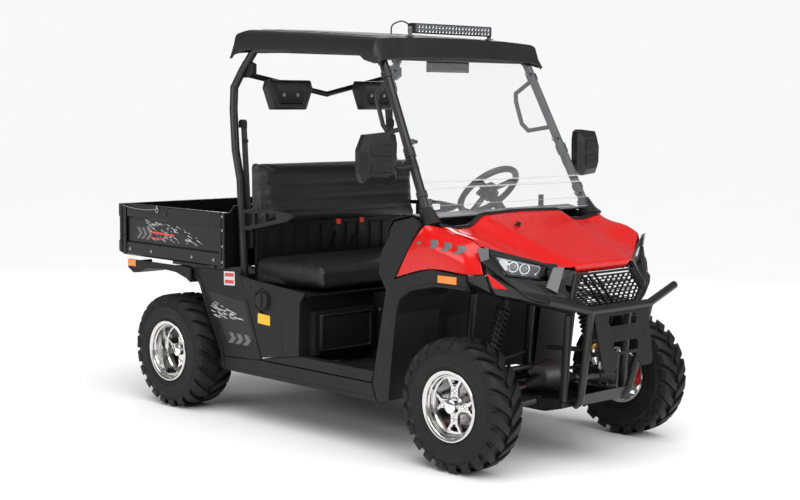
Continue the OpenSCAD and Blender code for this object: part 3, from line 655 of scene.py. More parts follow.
def build_grille():
    """Raised surround, level blades and slanting ribs."""
    corners = [(-g.x, g.y, g.z) for g in GRILLE] + [tuple(g) for g in reversed(GRILLE)]
    middle = sum((Vector(c) for c in corners), Vector()) / 6

    def ring(scale, push):
        return [middle + (Vector(c) - middle) * scale + Vector((0, push, 0)) for c in corners]

    frame_shape = Shape()
    rings = [ring(1.0, 12), ring(1.04, -2), ring(1.02, -9), ring(0.93, -7), ring(0.90, 2), ring(0.90, 12)]
    frame_shape.loft(rings + [rings[0]], closed_ends=False)
    frame_shape.piece("grille_surround", PLASTIC, "chassis", replaces=("grille",), slot="black_plastic",
                      sharp=20)
    bars = Shape()

    def edge(z):
        return lookup(z, [(g.z, g.x) for g in GRILLE]) * 0.92

    def face_y(z):
        return lookup(z, [(g.z, g.y) for g in GRILLE])

    levels = [658 + 14.2 * k for k in range(9)]
    for z in levels:
        w, y = edge(z), face_y(z)
        bars.box((-w, y - 3, z - 1.8), (w, y + 9, z + 1.8))
    for k, (low, high) in enumerate(zip(levels, levels[1:])):
        shift = 17 if k % 2 else 0
        for x in range(-238 + shift, 240, 34):
            if abs(x) + 8 < edge((low + high) / 2):
                slant = 6 if x >= 0 else -6
                bars.prism([(x - 1.6 + slant, face_y(high) - 2, high),
                            (x + 1.6 + slant, face_y(high) - 2, high),
                            (x + 1.6 - slant, face_y(low) - 2, low), (x - 1.6 - slant, face_y(low) - 2, low)],
                           (0, 10, 0))
    for x in (-150, -110, -70):
        bars.prism([(x - 3, face_y(782) - 6, 782), (x + 3, face_y(782) - 6, 782),
                    (x + 83, face_y(655) - 6, 655), (x + 77, face_y(655) - 6, 655)], (0, 12, 0))
    bars.piece("grille_mesh", BLACK_PLASTIC, "chassis", slot="black_plastic")
    backing = Shape()
    for k in range(11):
        z = 662 + 10 * k
        backing.box((-edge(z) * 0.86, face_y(z) + 22, z), (edge(z) * 0.86, face_y(z) + 24, z + 5))
    backing.piece("radiator_fins", LED, "chassis")


build_grille()


def lamp_point(u, v, deep=0.0):
    """A point on the left headlamp: u from its inner to its outer end, v from its bottom to its top."""
    inner = Vector((304, -188, 774)).lerp(Vector((288, -202, 821)), v)
    outer = Vector((423, -130, 792)).lerp(Vector((482, -104, 872)), v)
    out = Vector((0.46, -0.86, -0.10)).normalized()
    return inner.lerp(outer, u) - out * deep


def build_headlamps():
    tray, silver, eyes, glow, cover, bezel = (Shape() for _ in range(6))

    def rim_ring(grow, deep):
        us = [0 - grow, 0.08 - grow, 0.5, 0.92 + grow, 1 + grow]
        top = [lamp_point(u, 1 + grow * 2, deep) for u in us]
        bottom = [lamp_point(u, -grow * 2, deep) for u in reversed(us)]
        return top + bottom

    rings = [rim_ring(0.05, 6), rim_ring(0.05, -3), rim_ring(0.02, -4), rim_ring(-0.02, -1),
             rim_ring(-0.03, 30)]
    bezel.loft(rings, closed_ends=False)
    tray.add(rim_ring(-0.01, 34), [tuple(range(10))])
    for centre in (0.36, 0.64):
        spot = lamp_point(centre, 0.46, 26)
        out = Vector((0.46, -0.86, -0.10)).normalized()
        silver.lathe([(25, 8), (24, 12), (20, 6), (19, 2)], spot, out, 32)
        eyes.lathe([(18, 2), (18, 8), (15, 15), (9, 19), (0, 20.5)], spot, out, 32)
    silver.add([lamp_point(0.02, 0.05, 20), lamp_point(0.98, 0.05, 20), lamp_point(0.98, 0.12, 32),
                lamp_point(0.02, 0.12, 32)], [(0, 1, 2, 3)])
    silver.add([lamp_point(0.80, 0.10, 30), lamp_point(0.98, 0.20, 14), lamp_point(0.98, 0.92, 14),
                lamp_point(0.80, 0.80, 30)], [(0, 1, 2, 3)])
    for k in range(6):
        silver.box(lamp_point(0.83 + 0.024 * k, 0.22, 20) - Vector((1, 3, 0)),
                   lamp_point(0.83 + 0.024 * k, 0.78, 20) + Vector((1, 3, 0)))
    glow.tube([lamp_point(u, 0.86, 12) for u in (0.04, 0.35, 0.7, 0.93)], 3.2, 8)
    glow.tube([lamp_point(u, v, 12) for u, v in ((0.05, 0.84), (0.03, 0.5), (0.10, 0.16))], 2.6, 8)
    cover.grid([[lamp_point(u / 8, v / 4,
                            2 - 2 * math.sin(math.pi * u / 8)) for v in range(5)] for u in range(9)])
    for shape, name, material, slot in (
            (bezel, "headlamp_bezels", BLACK_PLASTIC, "black_plastic"),
                                        (tray, "headlamp_trays", BLACK_PLASTIC, None),
            (silver, "headlamp_reflectors", SILVER, None), (eyes, "headlamp_lenses", LENS, None),
            (glow, "headlamp_light_bars", LED, None), (cover, "headlamp_covers", COVER, "lamp_lens")):
        thing = shape.mirrored().piece(name, material, "chassis")
        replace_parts(thing, "lamps")


build_headlamps()


# ---- front face details ----

def facet(shape, points, deep=4):
    """A thin plate on the left front corner, pushed inwards."""
    return shape.prism(points, Vector((-0.46, 0.86, 0.10)) * deep)


def build_face_details():
    pale, dark, reds = Shape(), Shape(), Shape()
    facet(pale, [(219, -253, 818), (260, -229, 816), (307, -233, 741), (282, -271, 720)], 6)
    facet(pale, [(498, -100, 897), (540, -77, 898), (522, -82, 844), (494, -98, 854)], 5)
    for k in range(4):
        inner = Vector((289, -236, 747)).lerp(Vector((303, -251, 721)), k / 3)
        outer = Vector((402, -155, 767)).lerp(Vector((380, -180, 743)), k / 3)
        facet(dark, [inner, outer, outer - Vector((0, 0, 6)), inner - Vector((0, 0, 6))], 12)
    facet(dark, [(520, -84, 842), (497, -97, 846), (389, -207, 713), (317, -258, 681), (384, -214, 698)], 20)
    facet(dark, [(494, -98, 896), (488, -98, 878), (288, -214, 823), (262, -226, 800), (240, -238, 818),
                 (250, -236, 830), (290, -210, 834)], 5)
    facet(dark, [(230, -222, 790), (230, -222, 812), (300, -184, 822), (300, -180, 775)], 4)
    facet(dark, [(478, -66, 818), (534, -56, 818), (534, -54, 780), (478, -64, 780)], 5)
    facet(reds, [(505, -97, 800), (450, -160, 737), (494, -122, 741)], 10)
    for shape, name, material in ((pale, "lamp_blades", FINS_PLASTIC), (dark, "lamp_louvres", BLACK_PLASTIC),
                                  (reds, "corner_reflectors", RED_LENS)):
        bevelled(shape.mirrored().piece(name, material, "chassis"), 1.2)
    latch = Shape()
    latch.lathe([(9, 0), (9, 4), (6, 6), (6, 12), (11, 13), (11, 17), (0, 19)],
                (-150, 60, hood_z(-150, 60) - 1),
                (0, -0.3, 1), 20)
    latch.box((-166, 54, hood_z(-150, 60) + 4), (-134, 66, hood_z(-150, 60) + 9))
    bevelled(latch.piece("hood_latch", BLACK_PLASTIC, "hood"), 1.5)


build_face_details()

# ---- roof and light bar ----

ROOF_LOW = [(517, 1622), (540, 1622), (598, 1636), (634, 1660), (1009, 1677), (1378, 1693), (1460, 1682),
            (1506, 1652)]
ROOF_TOP = [(517, 1636), (548, 1722), (598, 1728), (634, 1732), (1009, 1758), (1428, 1780), (1480, 1770),
            (1506, 1676)]


def roof_half(y):
    low, top = lookup(y, ROOF_LOW), lookup(y, ROOF_TOP)
    groove = 5 * ease((y - 640) / 30) * (1 - ease((y - 1400) / 30))
    return [(519, low - 1), (523, low), (523, low + 6), (519, (low + top) / 2), (512, top - 22),
            (505, top - 9),
            (494, top - 2), (470, top + 4), (440, top + 6), (432, top + 6 - groove), (408, top + 7 - groove),
            (400, top + 8), (300, top + 12), (150, top + 15), (60, top + 16), (52, top + 16 - groove),
            (0, top + 16 - groove)]


def build_roof():
    ys = [517, 519, 524, 532, 540, 548, 560, 575, 598, 634, 645, 660, 672, 700]
    ys += list(range(760, 1361, 60)) + [1390, 1405, 1420, 1435, 1455, 1470, 1480, 1492, 1500, 1506]
    rows = []
    for y in ys:
        half = roof_half(y)
        rows.append([(-x, y, z) for x, z in half] + [(x, y, z) for x, z in reversed(half[:-1])])
    thing = Shape().grid(rows).piece("roof_skin", ROOF_PLASTIC, "chassis", replaces=("roof",),
                                     slot="black_plastic", sharp=28)
    modify(thing, "SOLIDIFY", thickness=0.004, offset=-1)


def build_light_bar():
    case, leds, feet = Shape(), Shape(), Shape()
    outline = [(584, 1758), (584, 1798), (590, 1800), (614, 1800), (622, 1794), (622, 1762), (616, 1757),
               (590, 1756)]
    case.prism([(-240, y, z) for y, z in outline], (480, 0, 0))
    for k in range(30):
        case.box((-236 + 16 * k, 612, 1760), (-234 + 16 * k, 624, 1799))
    for x in (-246, 240):
        case.prism([(x, y, z) for y, z in outline], (6, 0, 0))
    for k in range(22):
        for z in (1769, 1787):
            leds.lathe([(7.4, 0), (7.4, 2), (3, -3), (0, -3)], (-218 + 20.8 * k, 584, z), (0, -1, 0), 14)
    for x in (-252, 247):
        feet.box((x, 592, 1744), (x + 5, 614, 1786))
        feet.box((x - 10, 588, 1743), (x + 15, 618, 1747))
        feet.bolt((x if x < 0 else x + 5, 603, 1778), (-1 if x < 0 else 1, 0, 0), 6)
    bevelled(case.piece("light_bar_case", BLACK_PLASTIC, "chassis", slot="black_plastic"), 1)
    leds.piece("light_bar_leds", SILVER, "chassis", slot="lamp_lens")
    feet.piece("light_bar_feet", STEEL, "chassis", slot="bare_steel")
    lens = Shape()
    lens.grid([[(x, 582.5, z) for z in (1761, 1778, 1795)] for x in (-236, 0, 236)])
    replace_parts(lens.piece("light_bar_lens", COVER, "chassis", slot="lamp_lens"), "lamps")
    lead = Shape().tube(spline([(-230, 622, 1790), (-262, 640, 1808), (-300, 660, 1790), (-300, 668, 1752)],
                               6), 3.2, 8)
    lead.piece("light_bar_lead", SOFT_RUBBER, "chassis")


build_roof()
build_light_bar()


def build_tail_lamps():
    case, red_part, clear_part, ambers = Shape(), Shape(), Shape(), Shape()
    case.box((436, 2258, 610), (524, 2270, 658))
    red_part.box((441, 2268, 615), (490, 2276, 653))
    clear_part.box((492, 2268, 615), (519, 2276, 653))
    ambers.box((600, 2160, 642), (605, 2226, 674))
    ambers.box((578, -6, 751), (583, 97, 781))
    for shape, name, material in ((case, "tail_lamp_cases", BLACK_PLASTIC),
                                  (red_part, "tail_lamp_red", RED_LENS),
                                  (clear_part, "tail_lamp_clear", SILVER),
                                  (ambers, "side_reflectors", AMBER)):
        thing = bevelled(shape.mirrored().piece(name, material, "chassis"), 1.5)
        if material is RED_LENS:
            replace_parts(thing, "lamps")


build_tail_lamps()


# ---- seat ----

def block_mesh(name, points, x0, x1, voxel, round_by):
    """A rounded bar between two planes, remeshed into even squares."""
    ring = [(x0, y, z) for y, z in points]
    shape = Shape().prism(ring, (x1 - x0, 0, 0))
    mesh = bpy.data.meshes.new(name)
    mesh.from_pydata([at(v) for v in shape.verts], [], shape.faces)
    tidy = bmesh.new()
    tidy.from_mesh(mesh)
    bmesh.ops.recalc_face_normals(tidy, faces=tidy.faces)
    tidy.to_mesh(mesh)
    tidy.free()
    thing = bpy.data.objects.new(name, mesh)
    bpy.context.scene.collection.objects.link(thing)
    modify(thing, "BEVEL", width=round_by / 1000, segments=4, limit_method="ANGLE",
           angle_limit=math.radians(25))
    modify(thing, "REMESH", mode="VOXEL", voxel_size=voxel / 1000)
    bpy.context.view_layer.update()
    done = bpy.data.meshes.new_from_object(thing.evaluated_get(bpy.context.evaluated_depsgraph_get()))
    thing.modifiers.clear()
    thing.data = done
    return thing


def inflate(thing, held, pressure, cap):
    """Cloth under air pressure for a short while; held says which points stay, cap limits the movement."""
    before = [v.co.copy() for v in thing.data.vertices]
    pins = thing.vertex_groups.new(name="held")
    pins.add([i for i, p in enumerate(before) if held(p)], 1.0, "REPLACE")
    cloth = thing.modifiers.new("Cloth", "CLOTH")
    cloth.settings.vertex_group_mass = "held"
    cloth.settings.use_pressure = True
    cloth.settings.uniform_pressure_force = pressure
    cloth.settings.effector_weights.gravity = 0
    cloth.settings.quality = 5
    cloth.settings.tension_stiffness = 30
    cloth.settings.compression_stiffness = 30
    cloth.point_cache.frame_start = 1
    cloth.point_cache.frame_end = 20
    scene = bpy.context.scene
    for number in range(1, 21):
        scene.frame_set(number)
    swollen = thing.evaluated_get(bpy.context.evaluated_depsgraph_get()).data
    after = [v.co.copy() for v in swollen.vertices]
    thing.modifiers.remove(cloth)
    thing.vertex_groups.remove(pins)
    for v, old, new in zip(thing.data.vertices, before, after):
        move = new - old
        if move.length > cap / 1000:
            move = move.normalized() * cap / 1000
        v.co = old + move
    scene.frame_set(1)


def sew(thing, lines, facing, depth, wide=0.006):
    """Presses a groove into the mesh along each (axis, place) line on the faces that look the given way."""
    facing = Vector(facing).normalized()
    thing.data.update()
    for v in thing.data.vertices:
        share = max(0.0, v.normal.dot(facing))
        for axis, place in lines:
            away = (v.co[axis] - place) / wide
            if share > 0.3 and abs(away) < 3:
                v.co -= facing * depth * math.exp(-away * away) * min(1.0, share * 1.5)


def pad(name, points, x0, x1, held, lines, facing, node, voxel=10, cap=14, round_by=32):
    thing = block_mesh(name, points, x0, x1, voxel, round_by)
    inflate(thing, held, 4.0, cap)
    sew(thing, lines, facing, 0.005)
    thing.data.polygons.foreach_set("use_smooth", [True] * len(thing.data.polygons))
    modify(thing, "SUBSURF", levels=1, render_levels=1)
    thing.data.materials.append(VINYL)
    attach(thing, "chassis")
    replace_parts(thing, node)
    return thing


def row_y(y):
    """Metres along Y in the frame from millimetres behind the front axle."""
    return (y - MID_Y) / 1000


cushion = pad("bench_cushion", [(884, 640), (1368, 626), (1368, 728), (1300, 734), (1000, 740), (905, 734),
                                (882, 708)],
              -498, 498, lambda p: p.z < 0.632, [(1, row_y(y)) for y in (985, 1100, 1215, 1330)], (0, 0, 1),
              "seat_cushion")
backrest = pad("bench_backrest", [(1310, 886), (1382, 886), (1388, 1160), (1380, 1180), (1352, 1180),
                                  (1338, 1160)],
               -499, 499, lambda p: p.y > row_y(1379), [(2, z / 1000) for z in (945, 1010, 1075, 1140)],
               (0, -1, 0),
               "seat_back")


def surface_height(thing, origin, way):
    """Distance from a point to a pad along a direction, in millimetres, or None."""
    depsgraph = bpy.context.evaluated_depsgraph_get()
    hit, place, _, _ = thing.evaluated_get(depsgraph).ray_cast(at(origin), Vector(way))
    return (place - at(origin)).length * 1000 if hit else None


def seam_threads():
    shape = Shape()
    for y in (985, 1100, 1215, 1330):
        for hand in (-5, 5):
            for k in range(95):
                x = -470 + 10 * k
                fall = surface_height(cushion, (x, y + hand, 900), (0, 0, -1))
                if fall:
                    z = 900 - fall + 0.4
                    shape.tube([(x, y + hand, z), (x + 6, y + hand, z)], 0.8, 6)
    for z in (945, 1010, 1075, 1140):
        for hand in (-5, 5):
            for k in range(95):
                x = -470 + 10 * k
                fall = surface_height(backrest, (x, 1200, z + hand), (0, 1, 0))
                if fall:
                    y = 1200 + fall - 0.4
                    shape.tube([(x, y, z + hand), (x + 6, y, z + hand)], 0.8, 6)
    shape.piece("seam_threads", THREAD, "chassis")


seam_threads()


def build_headrests():
    """Moulded foam blocks with a recessed panel and two bolts."""
    centre = Vector((278, 1384, 1490))
    outer = [(-130, 68), (130, 68), (144, 30), (104, -70), (-104, -70), (-144, 30)]
    shape, bolts = Shape(), Shape()

    def ring(scale, y):
        return [centre + Vector((x * scale, y, z * scale)) for x, z in outer]

    shape.loft([ring(0.84, 16), ring(0.99, 14), ring(1.0, 6), ring(1.0, -6), ring(0.97, -16), ring(0.90, -25),
                ring(0.84, -28), ring(0.62, -28), ring(0.57, -22), ring(0.02, -22)])
    for dx in (-42, 42):
        bolts.bolt(centre + Vector((dx, -22, 0)), (0, -1, 0), 8, 5)
    thing = shape.mirrored().piece("headrest_pads", VINYL, "chassis", replaces=("headrests",), slot="vinyl",
                                   sharp=60)
    bevelled(thing, 9, 3)
    bolts.mirrored().piece("headrest_bolts", STEEL, "chassis", slot="bare_steel")


build_headrests()


def ribbon(shape, path, wide, thick=1.4):
    """Flat strap along a path; wide is a vector across the strap."""
    path = [Vector(p) for p in path]
    wide = Vector(wide)
    rings = []
    for i, p in enumerate(path):
        ahead = path[min(i + 1, len(path) - 1)] - path[max(i - 1, 0)]
        up = ahead.cross(wide).normalized() * thick / 2
        rings.append([p - wide / 2 - up, p + wide / 2 - up, p + wide / 2 + up, p - wide / 2 + up])
    return shape.loft(rings)


def build_belts():
    straps, hard, tags, buttons = Shape(), Shape(), Shape(), Shape()
    run = spline([(469, 1471, 1344), (470, 1462, 1240), (472, 1448, 1090), (474, 1436, 960),
                  (474, 1424, 850)], 6)
    ribbon(straps, run, (0, 42, 0))
    hard.prism([(464, 1452, 1336), (464, 1500, 1336), (464, 1500, 1366), (464, 1490, 1374), (464, 1462, 1374),
                (464, 1452, 1364)], (14, 0, 0))
    hard.prism([(466, 1398, 786), (466, 1404, 780), (466, 1446, 780), (466, 1452, 786), (466, 1452, 850),
                (466, 1446, 858), (466, 1404, 858), (466, 1398, 850)], (14, 0, 0))
    hard.box((467, 1440, 1268), (473, 1472, 1284))
    tags.prism([(465.5, 1408, 812), (465.5, 1428, 806), (465.5, 1432, 846), (465.5, 1410, 852)], (-0.6, 0, 0))
    for x, dx in ((58, 14),):
        stalk = spline([(x, 1340, 752), (x + 4, 1322, 782), (x + dx, 1280, 846)], 5)
        ribbon(hard, stalk, (16, 0, 0), 4)
    head = [(58, 1258, 848), (60, 1256, 852), (60, 1253, 900), (62, 1256, 906), (86, 1256, 906),
            (88, 1253, 900),
            (90, 1258, 848)]
    hard.prism(head, (0, 22, -3))
    buttons.box((62, 1251, 884), (86, 1262, 908))
    straps.mirrored().piece("belt_straps", WEBBING, "chassis", replaces=("seat_belts",), slot="webbing")
    bevelled(hard.mirrored().piece("belt_fittings", BLACK_PLASTIC, "chassis", slot="black_plastic"), 1.5)
    tags.mirrored().piece("belt_tags", WHITE_TRIM, "chassis")
    bevelled(buttons.mirrored().piece("buckle_buttons", BUTTON, "chassis"), 1.5)


build_belts()

# ---- finishes of the CAD nodes that stay ----

paint_node(CHASSIS, "frame", "suspension_arms", "rear_hitch", "tie_rods")
paint_node(PLASTIC, "floor_tub", "sills", "front_fenders", "front_fascia", "seat_base", "rear_quarters",
           "dash")
paint_node(POWDER, "front_bumper", "cage_pillars", "cage_bars")
paint_node(BLACK_PLASTIC, "mirrors", "hip_restraints", "driver_controls", "steering_wheel")
paint_node(BED_PAINT, "bed", "tailgate")
paint_node(CAST, "knuckle_left", "knuckle_right")
paint_node(SHEET, "windshield")


# ---- cab details ----

PILLAR_FOOT = Vector((505, 213, 966))
PILLAR_HEAD = Vector((455, 558, 1640))
PILLAR_RUN = (PILLAR_HEAD - PILLAR_FOOT).normalized()


def pillar(z):
    """A point on the left front pillar's axis."""
    return PILLAR_FOOT.lerp(PILLAR_HEAD, (z - PILLAR_FOOT.z) / (PILLAR_HEAD.z - PILLAR_FOOT.z))


def build_pillar_trim():
    boots, clamps, bolts = Shape(), Shape(), Shape()
    foot = pillar(962)
    profile = []
    for k in range(8):
        wide = 44 - 2.4 * k
        profile += [(wide, 10 * k), (wide + 3, 10 * k + 4), (wide - 3, 10 * k + 8)]
    boots.lathe(profile + [(22, 84)], foot, PILLAR_RUN, 28)
    for z, tall in ((1075, 26), (1235, 44), (1560, 30)):
        boots.lathe([(19.5, 0), (23.5, 1), (24, tall - 1), (19.5, tall)], pillar(z), PILLAR_RUN, 28)
    for z in (1060, 1300, 1590):
        p = pillar(z) - Vector((26, 8, 0))
        clamps.lathe([(8, -16), (8, 16)], p, (1, 0, 0), 16)
        clamps.lathe([(13, -6), (13, 6)], p, (1, 0, 0), 16)
        clamps.box(p - Vector((10, 22, 7)), p + Vector((4, 6, 7)))
        bolts.bolt(p - Vector((16, 0, 0)), (-1, 0, 0), 6)
    boots.mirrored().piece("pillar_boots", SOFT_RUBBER, "chassis")
    bevelled(clamps.mirrored().piece("windshield_clamps", BLACK_PLASTIC, "chassis"), 1.5)
    bolts.mirrored().piece("windshield_bolts", STEEL, "chassis")


def build_windshield_trim():
    """Folded stiffening bands and the joint between the two clear sheets."""
    bands, strip = Shape(), Shape()
    lean = Vector((0, 345, 674)).normalized()
    front = Vector((0, -674, 345)).normalized()
    for z, half in ((1107, 497), (1133, 495)):
        p = Vector((0, 186, 966)) + lean * ((z - 966) / lean.z) + front * 4
        bands.prism([p + Vector((-half, 0, 0)), p + Vector((half, 0, 0)), p + Vector((half, 0, 0)) + lean * 7,
                     p + Vector((-half, 0, 0)) + lean * 7], front * 3)
    for z, half in ((1041, 500), (1004, 503)):
        p = Vector((0, 186, 966)) + lean * ((z - 966) / lean.z) + front * 3
        strip.prism([p + Vector((-half, 0, 0)), p + Vector((half, 0, 0)), p + Vector((half, 0, 0)) + lean * 3,
                     p + Vector((-half, 0, 0)) + lean * 3], front * 2)
    bands.piece("windshield_bands", clear("band_sheet", (0.70, 0.72, 0.74), 0.06, alpha=0.35), "chassis")
    strip.piece("windshield_edges", clear("edge_sheet", (0.60, 0.62, 0.64), 0.06, alpha=0.30), "chassis")


def build_mirror_faces():
    glass, ridges = Shape(), Shape()
    for s in (1, -1):
        turn = Matrix.Rotation(math.radians(8 * s), 4, "Z")
        place = Vector((s * 662, 365, 1236))

        def spot(x, y, z):
            return place + turn @ Vector((s * x, y, z))

        glass.add([spot(x, 23, z) for x, z in ((-80, 52), (-74, 84), (-54, 94), (60, 84), (84, 30), (82, -54),
                                               (66, -86), (-36, -94), (-76, -74))], [tuple(range(9))])
        for z0, z1 in ((58, 8), (-8, -58)):
            ridges.loft([[spot(-44, y, z0), spot(48, y, z0 - 4), spot(56, y, z1 + 4), spot(-50, y, z1)]
                         for y in (-28, -34)])
    glass.piece("mirror_faces", MIRROR_GLASS, "chassis")
    bevelled(ridges.piece("mirror_ridges", PLASTIC, "chassis"), 3)


def build_wheel_trim():
    """Steering wheel hub pad and grips, riding with the wheel."""
    turn = Matrix.Translation((240, 585, 1062)) @ Matrix.Rotation(math.radians(-45), 4, "X")
    pad_shape = Shape()
    rings = []
    for scale, z in ((0.9, 2), (1.0, 6), (1.0, 14), (0.86, 20), (0.5, 22)):
        rings.append([Vector((x * scale, y * scale, z)) for x, y in
                      ((-52, 30), (-20, 44), (20, 44), (52, 30), (34, -30), (0, -44), (-34, -30))])
    pad_shape.loft(rings).moved(turn)
    bevelled(pad_shape.piece("steering_pad", SOFT_RUBBER, "steering_wheel"), 3)
    grips = Shape()
    ring = [Vector((146 * math.cos(a), 146 * math.sin(a), 0)) for a in
            (math.radians(20 + 7 * k) for k in range(21))]
    grips.tube(ring, 15, 14)
    grips.tube([-p for p in ring], 15, 14)
    grips.moved(turn)
    grips.piece("steering_grips", VINYL, "steering_wheel")


build_pillar_trim()
build_windshield_trim()
build_mirror_faces()
build_wheel_trim()


# ---- body sides ----

def side_plate(shape, outline, x, thick):
    """A thin plate on the left side from an outline in (y, z)."""
    return shape.prism([(x, y, z) for y, z in outline], (thick, 0, 0))


def band_line(shape, line, x, wide, thick):
    """A raised or dark line along a path in (y, z) on the left side."""
    pts = [Vector((0, y, z)) for y, z in line]
    left, right = [], []
    for i, p in enumerate(pts):
        ahead = (pts[min(i + 1, len(pts) - 1)] - pts[max(i - 1, 0)]).normalized()
        aside = Vector((0, -ahead.z, ahead.y)) * wide / 2
        left.append((x, p.y + aside.y, p.z + aside.z))
        right.append((x, p.y - aside.y, p.z - aside.z))
    n = len(left)
    for i in range(n - 1):
        shape.prism([left[i], left[i + 1], right[i + 1], right[i]], (thick, 0, 0))
    return shape


FENDER_ARCH = [(373, 233), (362, 350), (349, 460), (331, 600), (306, 665), (254, 702), (119, 734), (-64, 735)]
REAR_ARCH = [(1504, 230), (1516, 310), (1572, 404), (1627, 503), (1673, 603), (1712, 637)]


def build_side_trim():
    lips, seams, fills = Shape(), Shape(), Shape()
    arch = spline([(0, y, z) for y, z in FENDER_ARCH], 5)
    band_line(lips, [(p.y + 5, p.z + 4) for p in arch], 578, 12, 6)
    quarter = spline([(0, y, z) for y, z in REAR_ARCH], 5)
    band_line(lips, [(p.y - 16, p.z - 2) for p in quarter], 578, 18, 6)
    band_line(lips, [(1500, 224), (1204, 236), (452, 236)], 577, 4, 4)
    for line in ([(1204, 303), (1304, 556), (1378, 680)], [(1710, 626), (1304, 560)],
                 [(1068, 512), (1062, 330)], [(1150, 524), (1068, 512)], [(960, 236), (962, 290)],
                 [(950, 620), (1000, 622), (1014, 610), (1028, 622), (1260, 640)]):
        band_line(seams, line, 579.2, 4, 1.4)
    hexagon = [(1196 + 62 * math.cos(a), 566 + 62 * math.sin(a)) for a in
               (math.radians(60 * k) for k in range(6))]
    side_plate(fills, hexagon, 569, 1)
    for shape, name, material in ((lips, "arch_lips", PLASTIC), (seams, "panel_seams", BLACK_PLASTIC),
                                  (fills, "cap_recesses", BLACK_PLASTIC)):
        shape.mirrored().piece(name, material, "chassis")
    bolts = Shape()
    for y, z in ((430, 610), (419, 480), (452, 330), (1290, 620), (1348, 660), (1480, 300), (1600, 520),
                 (960, 372)):
        bolts.bolt((580, y, z), (1, 0, 0), 6, 3)
    bolts.mirrored().piece("panel_bolts", BLACK_PLASTIC, "chassis")


def build_fuel_cap():
    cap = Shape()
    centre = (-575, 1196, 566)
    cap.lathe([(43, 0), (43, 3), (40, 5), (40, 15), (37, 18), (0, 18)], centre, (-1, 0, 0), 40)
    for k in range(20):
        a = 2 * math.pi * k / 20
        p = Vector(centre) + Vector((0, 40 * math.cos(a), 40 * math.sin(a)))
        cap.tube([p + Vector((-5, 0, 0)), p + Vector((-15, 0, 0))], 2.4, 6)
    cap.box((-598, 1190, 536), (-592, 1202, 596))
    bevelled(cap.piece("fuel_cap_look", BLACK_PLASTIC, "chassis", replaces=("fuel_cap",),
                       slot="black_plastic"), 1)


def build_under_seat():
    """Storage box cover and a ribbed floor in the doorway."""
    cover, ribs = Shape(), Shape()
    rings = []
    for scale, y in ((1.0, 905), (1.0, 897), (0.95, 890), (0.90, 890), (0.87, 897), (0.10, 897)):
        rings.append([(342 + x * scale, y, 444 + z * scale) for x, z in
                      ((-150, -84), (150, -84), (158, -76), (158, 76), (150, 84), (-150, 84), (-158, 76),
                       (-158, -76))])
    cover.loft(rings)
    for k in range(12):
        ribs.box((170 + 30 * k, 470, 300), (182 + 30 * k, 860, 303))
    bevelled(cover.mirrored().piece("storage_covers", PLASTIC, "chassis"), 4)
    bevelled(ribs.mirrored().piece("floor_ribs", SOFT_RUBBER, "chassis"), 1)


build_side_trim()
build_fuel_cap()
build_under_seat()


# ---- colours and blank labels on the sides ----

def chevron(y, z, size, wide):
    """A forward-pointing arrowhead in (y, z); its two arms lean back from the tip."""
    upper = [(y, z), (y + size * 0.9, z + size), (y + size * 0.9 + wide, z + size), (y + wide, z)]
    lower = [(y, z), (y + wide, z), (y + size * 1.1 + wide, z - size), (y + size * 1.1, z - size)]
    return upper, lower


